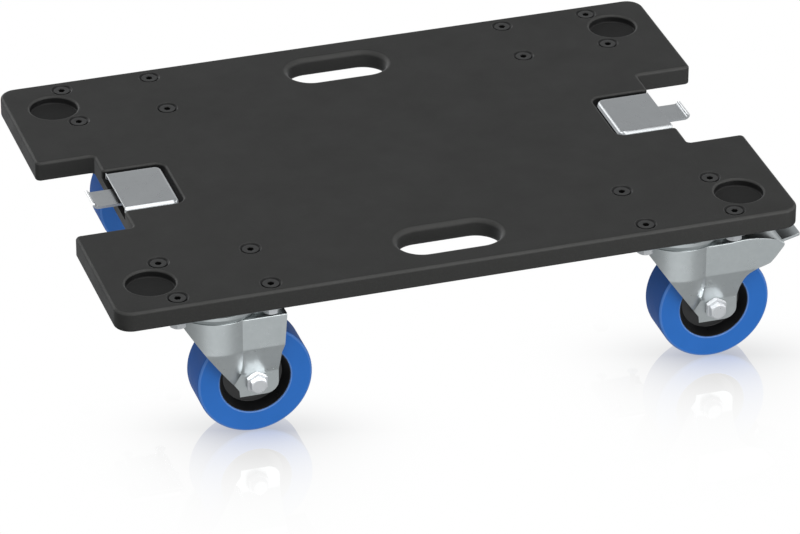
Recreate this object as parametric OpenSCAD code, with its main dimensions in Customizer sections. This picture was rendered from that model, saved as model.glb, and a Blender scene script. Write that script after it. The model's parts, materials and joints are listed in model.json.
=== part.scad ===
// Low four-castor carrying board with end keepers.
// Origin: centre of the board's top face. +X along the long side, towards the
// braked castors. +Y to the back. +Z up. Millimetres.

/* [Board] */
// Length of the board
deck_l = 600; // [590:1:620]
// Depth of the board
deck_w = 410; // [404:1:430]
// Thickness of the board
deck_t = 18; // [17:0.5:22]
// Radius of the board's corners, seen from above
corner_r = 15; // [10:1:18]
// Rounding of the board's top edge
edge_r = 3; // [1.5:0.5:4]
// Depth of each end cut-out, measured in from the end
notch_d = 51; // [48:1:53]
// Width of each end cut-out
notch_w = 131; // [124:1:140]
// Width of the pocket that holds a keeper plate
pocket_w = 77; // [74:1:82]
// Depth of that pocket below the top face
pocket_z = 8.1; // [8.1:0.1:9]
// Width of a hand slot
slot_w = 42; // [36:1:44]
// Overall length of a hand slot
slot_l = 90; // [80:1:110]
// Rounding of a hand slot's rims
slot_r = 5; // [3:0.5:6]
// Diameter of a foot cup
cup_d = 42; // [38:1:44]
// Depth of a foot cup
cup_z = 7; // [5:0.5:9]

/* [Castor pattern] */
// Distance between castor axes along the board
castor_dx = 410; // [404:1:414]
// Distance between castor axes across the board
castor_dy = 320; // [314:1:324]
// Bolt spacing of a castor plate along the board
hole_dx = 80; // [78:1:82]
// Bolt spacing of a castor plate across the board
hole_dy = 60; // [58:1:61]

/* [Castor] */
// Diameter of a wheel
wheel_d = 100; // [96:1:102]
// Width of a tyre
wheel_w = 36; // [32:1:36]
// Offset of the axle behind the swivel axis
trail = 29.25; // [28:0.25:31]
// Height of the axle below the castor's mounting face
axle_z = 81; // [80:0.5:82]
// Thickness of the pressed fork
sheet_t = 2.5; // [2:0.25:2.5]

/* [Hidden] */
$fn = 64;
cx = castor_dx/2;
cy = castor_dy/2;
e = 0.01;
// fork levels below the mounting face
roof_z = 11.5;     // top of the fork's roof
fold_z = 41.5;     // where the legs start to lean in
pad_z  = 73;       // where the legs turn vertical again at the axle
foot_z = 94.7;     // bottom of the legs
crown_r = 37;      // radius of the round front of the fork
leg_y = 34.2;      // outer face of the legs, above the fold
pad_y = 20;        // outer face of the legs, at the axle
flat_x = 14;       // where the round front meets the flat legs
lean = (leg_y - pad_y)/(pad_z - fold_z);
hub_r = 31;
keeper_top = -0.3;
tongue_top = -5.9;
tongue_bot = -8.1;
pin_x = 74;
pin_z = -28.5;
shoe_ri = 53.8;
shoe_ro = 58;

steel   = [0.74, 0.76, 0.76];
steel2  = [0.62, 0.64, 0.65];
blackc  = [0.10, 0.10, 0.10];
bluec   = [0.24, 0.47, 0.78];
boardc  = [0.24, 0.24, 0.23];
shoec   = [0.16, 0.16, 0.17];

// ---------- placing ----------
module at_lf() translate([-cx, -cy, -deck_t]) children();
module at_lb() translate([-cx,  cy, -deck_t]) children();
module at_rf() translate([ cx, -cy, -deck_t]) children();
module at_rb() translate([ cx,  cy, -deck_t]) children();
module at_each() { at_lf() children(); at_lb() children(); at_rf() children(); at_rb() children(); }
module at_bolts() for (x = [-1, 1], y = [-1, 1]) translate([x*hole_dx/2, y*hole_dy/2, 0]) children();

// a hexagonal prism standing on z = 0, h high, af across its flats
module hex_prism(af, h) cylinder(r = af/2/cos(30), h = h, $fn = 6);

// ---------- board ----------
// half section of the board's edge: width w from the middle, rounded at the rim
module edge_section(w) {
  lo = 1.5;
  translate([0, -deck_t + lo]) square([w, deck_t - lo - edge_r]);
  translate([0, -deck_t]) square([w - lo, lo]);
  translate([0, -edge_r - e]) square([w - edge_r, edge_r + e]);
  translate([w - edge_r, -edge_r]) circle(edge_r);
  translate([w - lo, -deck_t + lo]) circle(lo);
}
module board_blank() {
  hx = deck_l/2; hy = deck_w/2;
  // lengthwise bar, both halves
  for (s = [0, 1]) mirror([0, s, 0])
    translate([hx - corner_r, 0, 0]) rotate([90, 0, -90]) mirror([1, 0, 0]) linear_extrude(deck_l - 2*corner_r) edge_section(hy);
  for (s = [0, 1]) mirror([s, 0, 0])
    translate([0, hy - corner_r, 0]) rotate([90, 0, 0]) linear_extrude(deck_w - 2*corner_r) edge_section(hx);
  for (x = [-1, 1], y = [-1, 1]) translate([x*(hx - corner_r), y*(hy - corner_r), 0])
    rotate_extrude($fn = 96) edge_section(corner_r);
}
// cutter that rounds the rim of a round hole of radius r, rim at z = 0
module rim_round(r, q) rotate_extrude($fn = 96) difference() {
  translate([r - 1, -q]) square([q + 1, q + 1]);
  translate([r + q, -q]) circle(q);
}
module slot_cut() {
  r = slot_w/2; k = slot_l/2 - r;
  for (s = [-1, 1]) translate([s*k, 0, -deck_t - 1]) cylinder(r = r, h = deck_t + 2, $fn = 96);
  translate([-k, -r, -deck_t - 1]) cube([2*k, slot_w, deck_t + 2]);
  for (m = [0, 1]) translate([0, 0, -m*deck_t]) mirror([0, 0, m]) {
    for (s = [-1, 1]) translate([s*k, 0, 0]) rim_round(r, slot_r);
    for (s = [-1, 1]) translate([-k, 0, 0]) rotate([90, 0, 90]) linear_extrude(2*k) difference() {
      translate([s > 0 ? r - 1 : -r - slot_r, -slot_r]) square([slot_r + 1, slot_r + 1]);
      translate([s*(r + slot_r), -slot_r]) circle(slot_r);
    }
  }
}
module cup_cut() {
  translate([0, 0, -cup_z]) cylinder(d = cup_d, h = cup_z + 1, $fn = 96);
  rim_round(cup_d/2, 2.5);
}
module screw_cut() {
  translate([0, 0, -deck_t - 1]) cylinder(r = 4.2, h = deck_t + 2);
  translate([0, 0, -4.6]) cylinder(r1 = 4.2, r2 = 8.8, h = 4.6);
}
// end cut-out with its keeper pocket, drawn for the right-hand end
module end_cut() {
  x0 = deck_l/2 - notch_d;
  translate([x0, -notch_w/2, -deck_t - 1]) cube([notch_d + 5, notch_w, deck_t + 2]);
  translate([x0 - 54.3, -pocket_w/2, -pocket_z]) {
    difference() {
      cube([60, pocket_w, pocket_z + 1]);
      for (s = [0, 1]) translate([0, s*pocket_w, -1]) mirror([0, s, 0]) difference() {
        translate([-1, -1, 0]) cube([8, 8, pocket_z + 4]);
        translate([7, 7, -1]) cylinder(r = 7, h = pocket_z + 6);
      }
    }
  }
  // softened rims of the cut-out
  for (s = [-1, 1]) translate([x0, 0, 0]) rotate([90, 0, 90]) linear_extrude(notch_d + 5) difference() {
    translate([s > 0 ? notch_w/2 - 1 : -notch_w/2 - edge_r, -edge_r]) square([edge_r + 1, edge_r + 1]);
    translate([s*(notch_w/2 + edge_r), -edge_r]) circle(edge_r);
  }
  // holes for the keeper screws
  for (x = [8, 38], y = [-22, 22]) translate([x0 - 50 + x, y, -deck_t - 1]) {
    cylinder(r = 2.75, h = deck_t);
    translate([0, 0, 1 - e]) cylinder(r1 = 5, r2 = 2.75, h = 2.5);
  }
}
module deck() color(boardc) difference() {
  board_blank();
  for (s = [0, 1]) mirror([s, 0, 0]) end_cut();
  for (y = [-1, 1]) translate([0, y*cy, 0]) slot_cut();
  for (x = [-1, 1], y = [-1, 1]) translate([x*260, y*160, 0]) cup_cut();
  for (x = [-1, 1], y = [-1, 1]) translate([x*cx, y*cy, 0]) at_bolts() screw_cut();
}

// countersunk machine screws, heads flush with the top face
module deck_screws() color(blackc)
  for (x = [-1, 1], y = [-1, 1]) translate([x*cx, y*cy, 0]) at_bolts() difference() {
    union() {
      translate([0, 0, -4.75]) cylinder(r1 = 3.95, r2 = 8.55, h = 4.6);
      translate([0, 0, -deck_t - 9.8]) cylinder(r = 4, h = deck_t + 5.1);
    }
    translate([0, 0, -4.2]) hex_prism(5, 5);
  }
module castor_nuts() color(steel)
  at_each() at_bolts() translate([0, 0, -9.5]) difference() {
    intersection() {
      hex_prism(13, 6.5);
      union() { cylinder(r1 = 6.9, r2 = 8.2, h = 0.8); translate([0, 0, 0.8 - e]) cylinder(r = 8.2, h = 6); }
    }
    translate([0, 0, -1]) cylinder(r = 4.02, h = 9);
  }

// ---------- keepers ----------
// thick flat plate in the pocket, drawn for the right-hand end
module keeper_plate() {
  x0 = deck_l/2 - notch_d;
  difference() {
    translate([x0 - 50, -32.5, tongue_top]) cube([48, 65, keeper_top - tongue_top]);
    for (s = [0, 1]) mirror([0, s, 0]) difference() {
      translate([x0 - 51, 32.5 - 6, tongue_top - 1]) cube([7, 7, 8]);
      translate([x0 - 44, 26.5, tongue_top - 2]) cylinder(r = 6, h = 10);
    }
    for (x = [8, 38], y = [-22, 22]) translate([x0 - 50 + x, y, tongue_top - e]) cylinder(r = 2.52, h = 4);
  }
}
// strip under the plate that ends in an upturned hook
module keeper_latch() {
  x0 = deck_l/2 - notch_d;
  difference() {
    union() {
      translate([x0 - 48, -30, tongue_bot]) cube([46, 60, tongue_top - tongue_bot]);
      translate([x0 - 4, -13.3, tongue_bot]) cube([23, 26.6, tongue_top - tongue_bot]);
      translate([0, 13.3, 0]) rotate([90, 0, 0]) linear_extrude(26.6) {
        translate([x0 + 19.5, tongue_bot]) square([2.2, 5.3]);
        translate([x0 + 17, tongue_bot]) square([3, 2.2]);
      }
    }
    for (x = [8, 38], y = [-22, 22]) translate([x0 - 50 + x, y, tongue_bot - 1]) cylinder(r = 2.75, h = 4);
  }
}
module keeper_plate_left()  color(steel) mirror([1, 0, 0]) keeper_plate();
module keeper_plate_right() color(steel) keeper_plate();
module keeper_latch_left()  color(steel2) mirror([1, 0, 0]) keeper_latch();
module keeper_latch_right() color(steel2) keeper_latch();
module keeper_screws() color(steel2) for (s = [0, 1]) mirror([s, 0, 0])
  for (x = [8, 38], y = [-22, 22]) translate([deck_l/2 - notch_d - 50 + x, y, 0]) difference() {
    union() {
      translate([0, 0, -deck_t]) cylinder(r1 = 4.9, r2 = 2.5, h = 2.4);
      translate([0, 0, -deck_t + 2.4 - e]) cylinder(r = 2.5, h = deck_t - 2.4 + tongue_top + 3.5);
    }
    translate([0, 0, -deck_t - 1]) hex_prism(3, 3);
  }

// ---------- castor, mounting face at z = 0, swivel axis at the origin ----------
module top_plate() {
  px = hole_dx/2 + 12.5; py = hole_dy/2 + 10; r = 8;
  difference() {
    union() {
      translate([-px + r, -py, -3]) cube([2*(px - r), 2*py, 3]);
      translate([-px, -py + r, -3]) cube([2*px, 2*(py - r), 3]);
      for (x = [-1, 1], y = [-1, 1]) translate([x*(px - r), y*(py - r), -3]) cylinder(r = r, h = 3);
    }
    at_bolts() translate([0, 0, -4]) cylinder(r = 4.25, h = 5);
    translate([0, 0, -3 - e]) cylinder(r1 = 6.04, r2 = 9.08, h = 3 + 2*e);
  }
}
// pressed cup with a flared skirt that covers the upper ball row
module upper_race() difference() {
  union() {
    translate([0, 0, -6]) cylinder(r = 30, h = 3, $fn = 96);
    // flared skirt that ends just above the fork's roof
    rotate_extrude($fn = 128) polygon([[28, -3], [40.2, -3], [40.2, -6.8], [36.8, -10.75], [35, -10.75], [38.2, -6.6], [38.2, -5], [28, -5]]);
  }
  translate([0, 0, -12]) cylinder(r = 22, h = 12, $fn = 96);
  translate([0, 0, -8.75]) rotate_extrude($fn = 96) translate([26, 0]) circle(2.85, $fn = 32);
}
module lower_race() difference() {
  translate([0, 0, -22]) cylinder(r = 24.5, h = 6.5, $fn = 96);
  translate([0, 0, -19.5]) cylinder(r = 22.4, h = 8, $fn = 96);
  translate([0, 0, -23]) cylinder(r = 6, h = 8);
}
module kingpin() {
  translate([0, 0, -3]) cylinder(r1 = 6, r2 = 9, h = 3);
  translate([0, 0, -31]) cylinder(r = 6, h = 28 + e);
}
module kingpin_nut() translate([0, 0, -29.5]) difference() {
  hex_prism(19, 7.5);
  translate([0, 0, -1]) cylinder(r = 6, h = 10);
}
module top_plate_lf() color(steel) at_lf() top_plate();
module top_plate_lb() color(steel) at_lb() top_plate();
module top_plate_rf() color(steel) at_rf() top_plate();
module top_plate_rb() color(steel) at_rb() top_plate();
module upper_races() color(steel) at_each() upper_race();
module lower_races() color(steel2) at_each() lower_race();
module kingpins() color(steel2) at_each() kingpin();
module kingpin_nuts() color(steel2) at_each() kingpin_nut();

// outline of a fork seen from the side, x against z
function front_x(z) = -32 + (-20.3 - z)/1.467;
leg_front = [[front_x(-roof_z), -roof_z], [14.5, -88.5], [15.1, -foot_z], [38, -foot_z], [43.2, -93.4], [47, -89.8], [49, -85]];
side_plain = concat(leg_front, [[49, -73.9], [49.2, -50.5], [50.8, -41.5], [52.8, -roof_z]]);
arm_top = [[28, -roof_z], [34.5, -11.2], [41, -10.7], [48, -10.35], [54, -10.4], [60, -10.9], [66, -11.8], [72, -13.1], [77, -14.8], [81.5, -17.1], [85.5, -20]];
side_brake = concat(leg_front, [[49, -70], [49.3, -63], [50.2, -57.2], [51.4, -52.4], [53, -48.7], [55, -46], [57.5, -43.9], [61.6, -41], [69, -39], [73.4, -37.2], [77.7, -32.5]],
                    [for (i = [len(arm_top) - 1 : -1 : 0]) arm_top[i]]);
module side_extrude(h) translate([0, h, 0]) rotate([90, 0, 0]) linear_extrude(2*h) children();
// section of one leg, y against z, carried along x
module leg_section() polygon([[leg_y, -roof_z], [leg_y, -fold_z], [pad_y, -pad_z], [pad_y, -foot_z - 2],
  [pad_y - sheet_t, -foot_z - 2], [pad_y - sheet_t, -pad_z + 0.5], [leg_y - sheet_t, -fold_z + 0.5], [leg_y - sheet_t, -roof_z]]);
module fork(braked) difference() {
  union() {
    // roof
    translate([0, 0, -roof_z - sheet_t]) linear_extrude(sheet_t) {
      circle(crown_r, $fn = 96);
      translate([0, -leg_y]) square([braked ? 28.5 : 52.8, 2*leg_y]);
    }
    if (braked) side_extrude(leg_y) polygon(concat(arm_top,
      [[84, -22.4], [80, -19.4], [76, -17.1], [71.3, -15.6], [65.6, -14.25], [59.8, -13.4], [54, -12.9], [48, -12.85], [41, -13.2], [34.5, -13.7], [28, -roof_z - sheet_t]]));
    // flat legs
    intersection() {
      side_extrude(leg_y + 5) polygon(braked ? side_brake : side_plain);
      union() {
        for (s = [0, 1]) mirror([0, s, 0]) {
          translate([flat_x - 1, 0, 0]) rotate([90, 0, 90]) linear_extrude(80) leg_section();
          translate([-2, 0, 0]) intersection() {
            rotate([90, 0, 90]) linear_extrude(30) leg_section();
            translate([-5, 0, -foot_z - 3]) cube([40, 50, foot_z + 3 - pad_z]);
          }
        }
      }
    }
    // round front, upright above the fold and tapering below it
    intersection() {
      side_extrude(crown_r + 5) polygon(side_plain);
      translate([-crown_r - 5, -crown_r - 5, -foot_z]) cube([crown_r + 5 + flat_x, 2*crown_r + 10, foot_z - roof_z]);
      union() {
        difference() {
          translate([0, 0, -fold_z]) cylinder(r = crown_r, h = fold_z - roof_z, $fn = 96);
          translate([0, 0, -fold_z - 1]) cylinder(r = crown_r - sheet_t, h = fold_z, $fn = 96);
        }
        difference() {
          translate([0, 0, -pad_z - 3]) cylinder(r1 = crown_r - lean*(pad_z + 3 - fold_z), r2 = crown_r, h = pad_z + 3 - fold_z, $fn = 96);
          translate([0, 0, -pad_z - 3 - e]) cylinder(r1 = crown_r - 2.73 - lean*(pad_z + 3 + e - fold_z), r2 = crown_r - 2.73 + lean*e, h = pad_z + 3 - fold_z + 2*e, $fn = 96);
        }
      }
    }
  }
  translate([0, 0, -20]) cylinder(r = 6.08, h = 12);
  translate([trail, 0, -axle_z]) rotate([90, 0, 0]) cylinder(r = 4.1, h = 100, center = true);
}
module swivel_balls() {
  for (i = [0:19]) rotate([0, 0, i*18]) translate([26, 0, -8.75]) sphere(r = 2.45, $fn = 24);
  for (i = [0:17]) rotate([0, 0, i*20]) translate([19, 0, -16.75]) sphere(r = 2.45, $fn = 24);
}
module on_axle() translate([trail, 0, -axle_z]) rotate([-90, 0, 0]) children();
// hex bolt with a larger hexagonal collar under its head, head towards the front
module axle_bolt() on_axle() {
  intersection() {
    translate([0, 0, -pad_y - 5]) rotate([0, 0, 30]) hex_prism(17, 5);
    union() {
      translate([0, 0, -pad_y - 1.2]) cylinder(r1 = 9.9, r2 = 7.9, h = 1.2);
      translate([0, 0, -pad_y - 6]) cylinder(r = 9.9, h = 4.8 + e);
    }
  }
  translate([0, 0, -pad_y - 10]) rotate([0, 0, 30]) hex_prism(13, 5 + e);
  translate([0, 0, -pad_y - 1]) cylinder(r = 4, h = 2*pad_y + 10.5);
}
module axle_nut() on_axle() translate([0, 0, pad_y]) difference() {
  union() { cylinder(r = 8, h = 1.6); translate([0, 0, 1.6 - e]) rotate([0, 0, 30]) hex_prism(13, 7); }
  translate([0, 0, -1]) cylinder(r = 4, h = 12);
}
module axle_spacer() on_axle() difference() {
  cylinder(r = 6, h = 2*(pad_y - sheet_t), center = true);
  cylinder(r = 4.02, h = 60, center = true);
}
module wheel_hub() on_axle() rotate_extrude($fn = 128) polygon([
  [11, -17.2], [14.5, -17.2], [15.2, -8], [26, -8], [30.4, -wheel_w/2 + 0.8], [hub_r, -wheel_w/2 + 0.8],
  [hub_r, wheel_w/2 - 0.8], [30.4, wheel_w/2 - 0.8], [26, 8], [15.2, 8], [14.5, 17.2], [11, 17.2],
  [11, 10.2], [8, 10.2], [8, -10.2], [11, -10.2]]);
module tyre() on_axle() rotate_extrude($fn = 160) {
  q = 2.5; ro = wheel_d/2;
  translate([hub_r, -wheel_w/2 + q]) square([ro - hub_r, wheel_w - 2*q]);
  translate([hub_r, -wheel_w/2]) square([ro - hub_r - q, wheel_w]);
  for (s = [-1, 1]) translate([ro - q, s*(wheel_w/2 - q)]) circle(q);
}
module wheel_bearings() on_axle() for (s = [-1, 1]) translate([0, 0, s*13.7]) difference() {
  cylinder(r = 11, h = 7, center = true);
  cylinder(r = 6.06, h = 9, center = true);
  // groove between the rings
  for (m = [-1, 1]) translate([0, 0, m*3.5]) difference() { cylinder(r = 9.6, h = 1.6, center = true); cylinder(r = 7.4, h = 4, center = true); }
}

// ---------- brake ----------
module on_pin() translate([pin_x, 0, pin_z]) rotate([-90, 0, 0]) children();
module brake_pedal() difference() {
  union() {
    on_pin() cylinder(r = 6, h = 48, center = true);
    // foot plate with rounded outer corners
    intersection() {
      side_extrude(22) polygon([[77, -26.4], [104.3, -19.6], [104.3, -22.2], [77, -29]]);
      translate([0, 0, -40]) linear_extrude(40) { translate([60, -22]) square([42.8, 44]); translate([60, -20.5]) square([44.3, 41]); for (s = [-1, 1]) translate([102.8, s*20.5]) circle(1.5); }
    }
    // hanger that carries the shoe
    side_extrude(9) polygon([[69.5, -31], [74, -28.5], [79, -31], [79.6, -40], [77.5, -49.5], [69, -42]]);
  }
  on_pin() cylinder(r = 3.06, h = 60, center = true);
  on_axle() cylinder(r = shoe_ro, h = 60, center = true, $fn = 128);
}
module brake_shoe() intersection() {
  on_axle() difference() {
    cylinder(r = shoe_ro, h = 28, center = true, $fn = 128);
    cylinder(r = shoe_ri, h = 30, center = true, $fn = 128);
  }
  side_extrude(14) polygon([[trail, -axle_z], [trail + 80*cos(34), -axle_z + 80*sin(34)], [trail + 80*cos(44), -axle_z + 80*sin(44)]]);
}
module pedal_pin() on_pin() cylinder(r = 3, h = 2*(leg_y - sheet_t), center = true);
module brake_spring() side_extrude(6) polygon([[48, -12.87], [54, -12.93], [57.2, -13.35], [66, -17.1], [75, -21], [75, -22], [65.6, -18.1], [56.8, -14.3], [48, -13.87]]);

module fork_lf() color(steel) at_lf() fork(false);
module fork_lb() color(steel) at_lb() fork(false);
module fork_rf() color(steel) at_rf() fork(true);
module fork_rb() color(steel) at_rb() fork(true);
module swivel_balls_lf() color(steel2) at_lf() swivel_balls();
module swivel_balls_lb() color(steel2) at_lb() swivel_balls();
module swivel_balls_rf() color(steel2) at_rf() swivel_balls();
module swivel_balls_rb() color(steel2) at_rb() swivel_balls();
module axle_bolt_lf() color(steel2) at_lf() axle_bolt();
module axle_bolt_lb() color(steel2) at_lb() axle_bolt();
module axle_bolt_rf() color(steel2) at_rf() axle_bolt();
module axle_bolt_rb() color(steel2) at_rb() axle_bolt();
module axle_nut_lf() color(steel2) at_lf() axle_nut();
module axle_nut_lb() color(steel2) at_lb() axle_nut();
module axle_nut_rf() color(steel2) at_rf() axle_nut();
module axle_nut_rb() color(steel2) at_rb() axle_nut();
module axle_spacer_lf() color(steel2) at_lf() axle_spacer();
module axle_spacer_lb() color(steel2) at_lb() axle_spacer();
module axle_spacer_rf() color(steel2) at_rf() axle_spacer();
module axle_spacer_rb() color(steel2) at_rb() axle_spacer();
module wheel_hub_lf() color(blackc) at_lf() wheel_hub();
module wheel_hub_lb() color(blackc) at_lb() wheel_hub();
module wheel_hub_rf() color(blackc) at_rf() wheel_hub();
module wheel_hub_rb() color(blackc) at_rb() wheel_hub();
module tyre_lf() color(bluec) at_lf() tyre();
module tyre_lb() color(bluec) at_lb() tyre();
module tyre_rf() color(bluec) at_rf() tyre();
module tyre_rb() color(bluec) at_rb() tyre();
module wheel_bearings_lf() color(steel) at_lf() wheel_bearings();
module wheel_bearings_lb() color(steel) at_lb() wheel_bearings();
module wheel_bearings_rf() color(steel) at_rf() wheel_bearings();
module wheel_bearings_rb() color(steel) at_rb() wheel_bearings();
module brake_pedal_rf() color(steel2) at_rf() brake_pedal();
module brake_pedal_rb() color(steel2) at_rb() brake_pedal();
module brake_shoe_rf() color(shoec) at_rf() brake_shoe();
module brake_shoe_rb() color(shoec) at_rb() brake_shoe();
module pedal_pin_rf() color(steel) at_rf() pedal_pin();
module pedal_pin_rb() color(steel) at_rb() pedal_pin();
module brake_spring_rf() color(steel) at_rf() brake_spring();
module brake_spring_rb() color(steel) at_rb() brake_spring();

deck();
deck_screws();
castor_nuts();
keeper_plate_left();
keeper_plate_right();
keeper_latch_left();
keeper_latch_right();
keeper_screws();
top_plate_lf();
top_plate_lb();
top_plate_rf();
top_plate_rb();
upper_races();
lower_races();
kingpins();
kingpin_nuts();
fork_lf();
fork_lb();
fork_rf();
fork_rb();
swivel_balls_lf();
swivel_balls_lb();
swivel_balls_rf();
swivel_balls_rb();
axle_bolt_lf();
axle_bolt_lb();
axle_bolt_rf();
axle_bolt_rb();
axle_nut_lf();
axle_nut_lb();
axle_nut_rf();
axle_nut_rb();
axle_spacer_lf();
axle_spacer_lb();
axle_spacer_rf();
axle_spacer_rb();
wheel_hub_lf();
wheel_hub_lb();
wheel_hub_rf();
wheel_hub_rb();
tyre_lf();
tyre_lb();
tyre_rf();
tyre_rb();
wheel_bearings_lf();
wheel_bearings_lb();
wheel_bearings_rf();
wheel_bearings_rb();
brake_pedal_rf();
brake_pedal_rb();
brake_shoe_rf();
brake_shoe_rb();
pedal_pin_rf();
pedal_pin_rb();
brake_spring_rf();
brake_spring_rb();
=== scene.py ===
"""Looks for a flat carrying board on four swivel castors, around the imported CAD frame.

Everything is built in millimetres in the row frame (origin: centre of the board's top face,
+X towards the braked castors, +Y to the back, +Z up) and scaled to metres when a mesh is made.
"""

import json
import math

import bmesh
import bpy
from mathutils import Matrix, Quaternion, Vector
from mathutils.geometry import delaunay_2d_cdt

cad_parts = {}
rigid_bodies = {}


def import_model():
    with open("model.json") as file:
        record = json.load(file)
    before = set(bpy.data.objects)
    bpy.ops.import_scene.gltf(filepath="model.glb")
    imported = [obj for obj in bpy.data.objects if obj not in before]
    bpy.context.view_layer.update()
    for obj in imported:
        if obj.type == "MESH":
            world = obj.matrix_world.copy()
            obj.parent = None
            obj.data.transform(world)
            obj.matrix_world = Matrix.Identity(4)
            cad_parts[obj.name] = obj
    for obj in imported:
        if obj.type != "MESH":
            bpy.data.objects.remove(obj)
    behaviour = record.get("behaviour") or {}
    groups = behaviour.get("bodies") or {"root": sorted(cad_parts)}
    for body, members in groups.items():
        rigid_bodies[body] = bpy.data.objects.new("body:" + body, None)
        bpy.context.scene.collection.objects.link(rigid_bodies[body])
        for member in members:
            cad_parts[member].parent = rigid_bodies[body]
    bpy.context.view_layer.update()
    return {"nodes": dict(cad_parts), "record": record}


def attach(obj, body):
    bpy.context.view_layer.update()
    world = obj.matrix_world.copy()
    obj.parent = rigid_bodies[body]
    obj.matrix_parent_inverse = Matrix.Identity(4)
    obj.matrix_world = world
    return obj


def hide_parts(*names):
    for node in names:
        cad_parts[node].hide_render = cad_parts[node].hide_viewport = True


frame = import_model()
MM = 0.001
CASTORS = {"lf": (-205, -160), "lb": (-205, 160), "rf": (205, -160), "rb": (205, 160)}
BRAKED = ("rf", "rb")
scene = bpy.context.scene
ease = lambda t: t * t * (3 - 2 * t)


# ------------------------------------------------------------------ mesh kit
class Shape:
    """Vertices in millimetres and faces, built up ring by ring."""

    def __init__(self):
        self.v, self.f, self.m = [], [], []

    def add(self, pts):
        base = len(self.v)
        self.v += [tuple(float(c) for c in p) for p in pts]
        return list(range(base, base + len(pts)))

    def face(self, idx, m=0):
        idx = [i for k, i in enumerate(idx) if i != idx[k - 1]]
        if len(set(idx)) >= 3:
            self.f.append(tuple(idx))
            self.m.append(m)

    def strip(self, a, b, closed=True, m=0, flip=False):
        """Quads between two rings of the same length: a is the upper one of a wall whose void is on the right of its way."""
        n = len(a)
        for i in range(n if closed else n - 1):
            j = (i + 1) % n
            q = (a[i], b[i], b[j], a[j])
            self.face(q[::-1] if flip else q, m)

    def fan(self, centre, ring, m=0, flip=False):
        for i in range(len(ring)):
            q = (centre, ring[i], ring[(i + 1) % len(ring)])
            self.face(q[::-1] if flip else q, m)

    def cap(self, outer, holes=(), m=0, up=True, extra=(), flat=(0, 1)):
        """Fills a plane region bounded by index loops with a constrained triangulation."""
        ids = list(outer)
        for h in holes:
            ids += list(h)
        ids += list(extra)
        pts = [Vector((self.v[i][flat[0]], self.v[i][flat[1]])) for i in ids]
        edges, base = [], 0
        for loop in [outer, *holes]:
            n = len(loop)
            edges += [(base + k, base + (k + 1) % n) for k in range(n)]
            base += n
        tris = cdt(pts, edges, [[pts[k] for k in range(len(outer))]], loops_of(pts, outer, holes))
        for t in tris:
            self.face([ids[k] for k in (t if up else t[::-1])], m)

    def joined(self, other, move=(0, 0, 0)):
        base = len(self.v)
        self.v += [(x + move[0], y + move[1], z + move[2]) for x, y, z in other.v]
        self.f += [tuple(i + base for i in f) for f in other.f]
        self.m += other.m
        return self

    def moved(self, fn):
        self.v = [tuple(fn(*p)) for p in self.v]
        return self

    def flipped(self):
        self.f = [f[::-1] for f in self.f]
        return self


def loops_of(pts, outer, holes):
    out, base = [], len(outer)
    for h in holes:
        out.append([pts[base + k] for k in range(len(h))])
        base += len(h)
    return out


def inside(x, y, loop):
    hit, n = False, len(loop)
    j = n - 1
    for i in range(n):
        xi, yi, xj, yj = loop[i][0], loop[i][1], loop[j][0], loop[j][1]
        if (yi > y) != (yj > y) and x < (xj - xi) * (y - yi) / (yj - yi) + xi:
            hit = not hit
        j = i
    return hit


def cdt(pts, edges, outers, holes, eps=1e-5):
    """Triangles of the region inside the outer loops and outside the holes, as index triples, counter-clockwise."""
    vs, _, fs, ov, _, _ = delaunay_2d_cdt(pts, edges, [], 0, eps)
    back = []
    for k, o in enumerate(ov):
        if not o:
            raise ValueError("the triangulation needed a point of its own at %s" % (vs[k],))
        back.append(o[0])
    out = []
    for f in fs:
        a, b, c = (vs[i] for i in f)
        x, y = (a[0] + b[0] + c[0]) / 3, (a[1] + b[1] + c[1]) / 3
        area = (b[0] - a[0]) * (c[1] - a[1]) - (b[1] - a[1]) * (c[0] - a[0])
        if abs(area) < 1e-9 or not any(inside(x, y, o) for o in outers) or any(inside(x, y, h) for h in holes):
            continue
        t = [back[i] for i in f]
        out.append(t if area > 0 else t[::-1])
    return out


def path(corners, step=7.5):
    """A closed way round corners (x, y, fillet radius[, tag]). Gives (x, y, nx, ny, tag) with n on the right of the way, where the void is."""
    out, n = [], len(corners)
    for i in range(n):
        (x0, y0), (x1, y1), (x2, y2) = corners[i - 1][:2], corners[i][:2], corners[(i + 1) % n][:2]
        r = corners[i][2]
        tag = corners[i][3] if len(corners[i]) > 3 else 0
        d1, d2 = Vector((x1 - x0, y1 - y0)).normalized(), Vector((x2 - x1, y2 - y1)).normalized()
        phi = math.atan2(d1.x * d2.y - d1.y * d2.x, d1.dot(d2))
        s = 1 if phi > 0 else -1
        t = r * math.tan(abs(phi) / 2)
        ax, ay = x1 - d1.x * t, y1 - d1.y * t
        cx, cy = ax - s * r * d1.y, ay + s * r * d1.x
        steps = max(2, math.ceil(abs(math.degrees(phi)) / step))
        for k in range(steps + 1):
            g = phi * k / steps
            dx, dy = d1.x * math.cos(g) - d1.y * math.sin(g), d1.x * math.sin(g) + d1.y * math.cos(g)
            nx, ny = dy, -dx
            out.append((cx + s * r * nx, cy + s * r * ny, nx, ny, tag))
    return out


def hole(cx, cy, r, n=32):
    """A round hole's rim, run clockwise so that the void is on its right."""
    return [(cx + r * math.cos(a), cy + r * math.sin(a), -math.cos(a), -math.sin(a), 0) for a in [-2 * math.pi * k / n for k in range(n)]]


def ring(s, loop, d, z):
    """A ring of the loop moved d into the material, at height z. d and z may be one number or one per point."""
    dd = d if isinstance(d, list) else [d] * len(loop)
    zz = z if isinstance(z, list) else [z] * len(loop)
    return s.add([(p[0] - p[2] * a, p[1] - p[3] * a, b) for p, a, b in zip(loop, dd, zz)])


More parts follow.
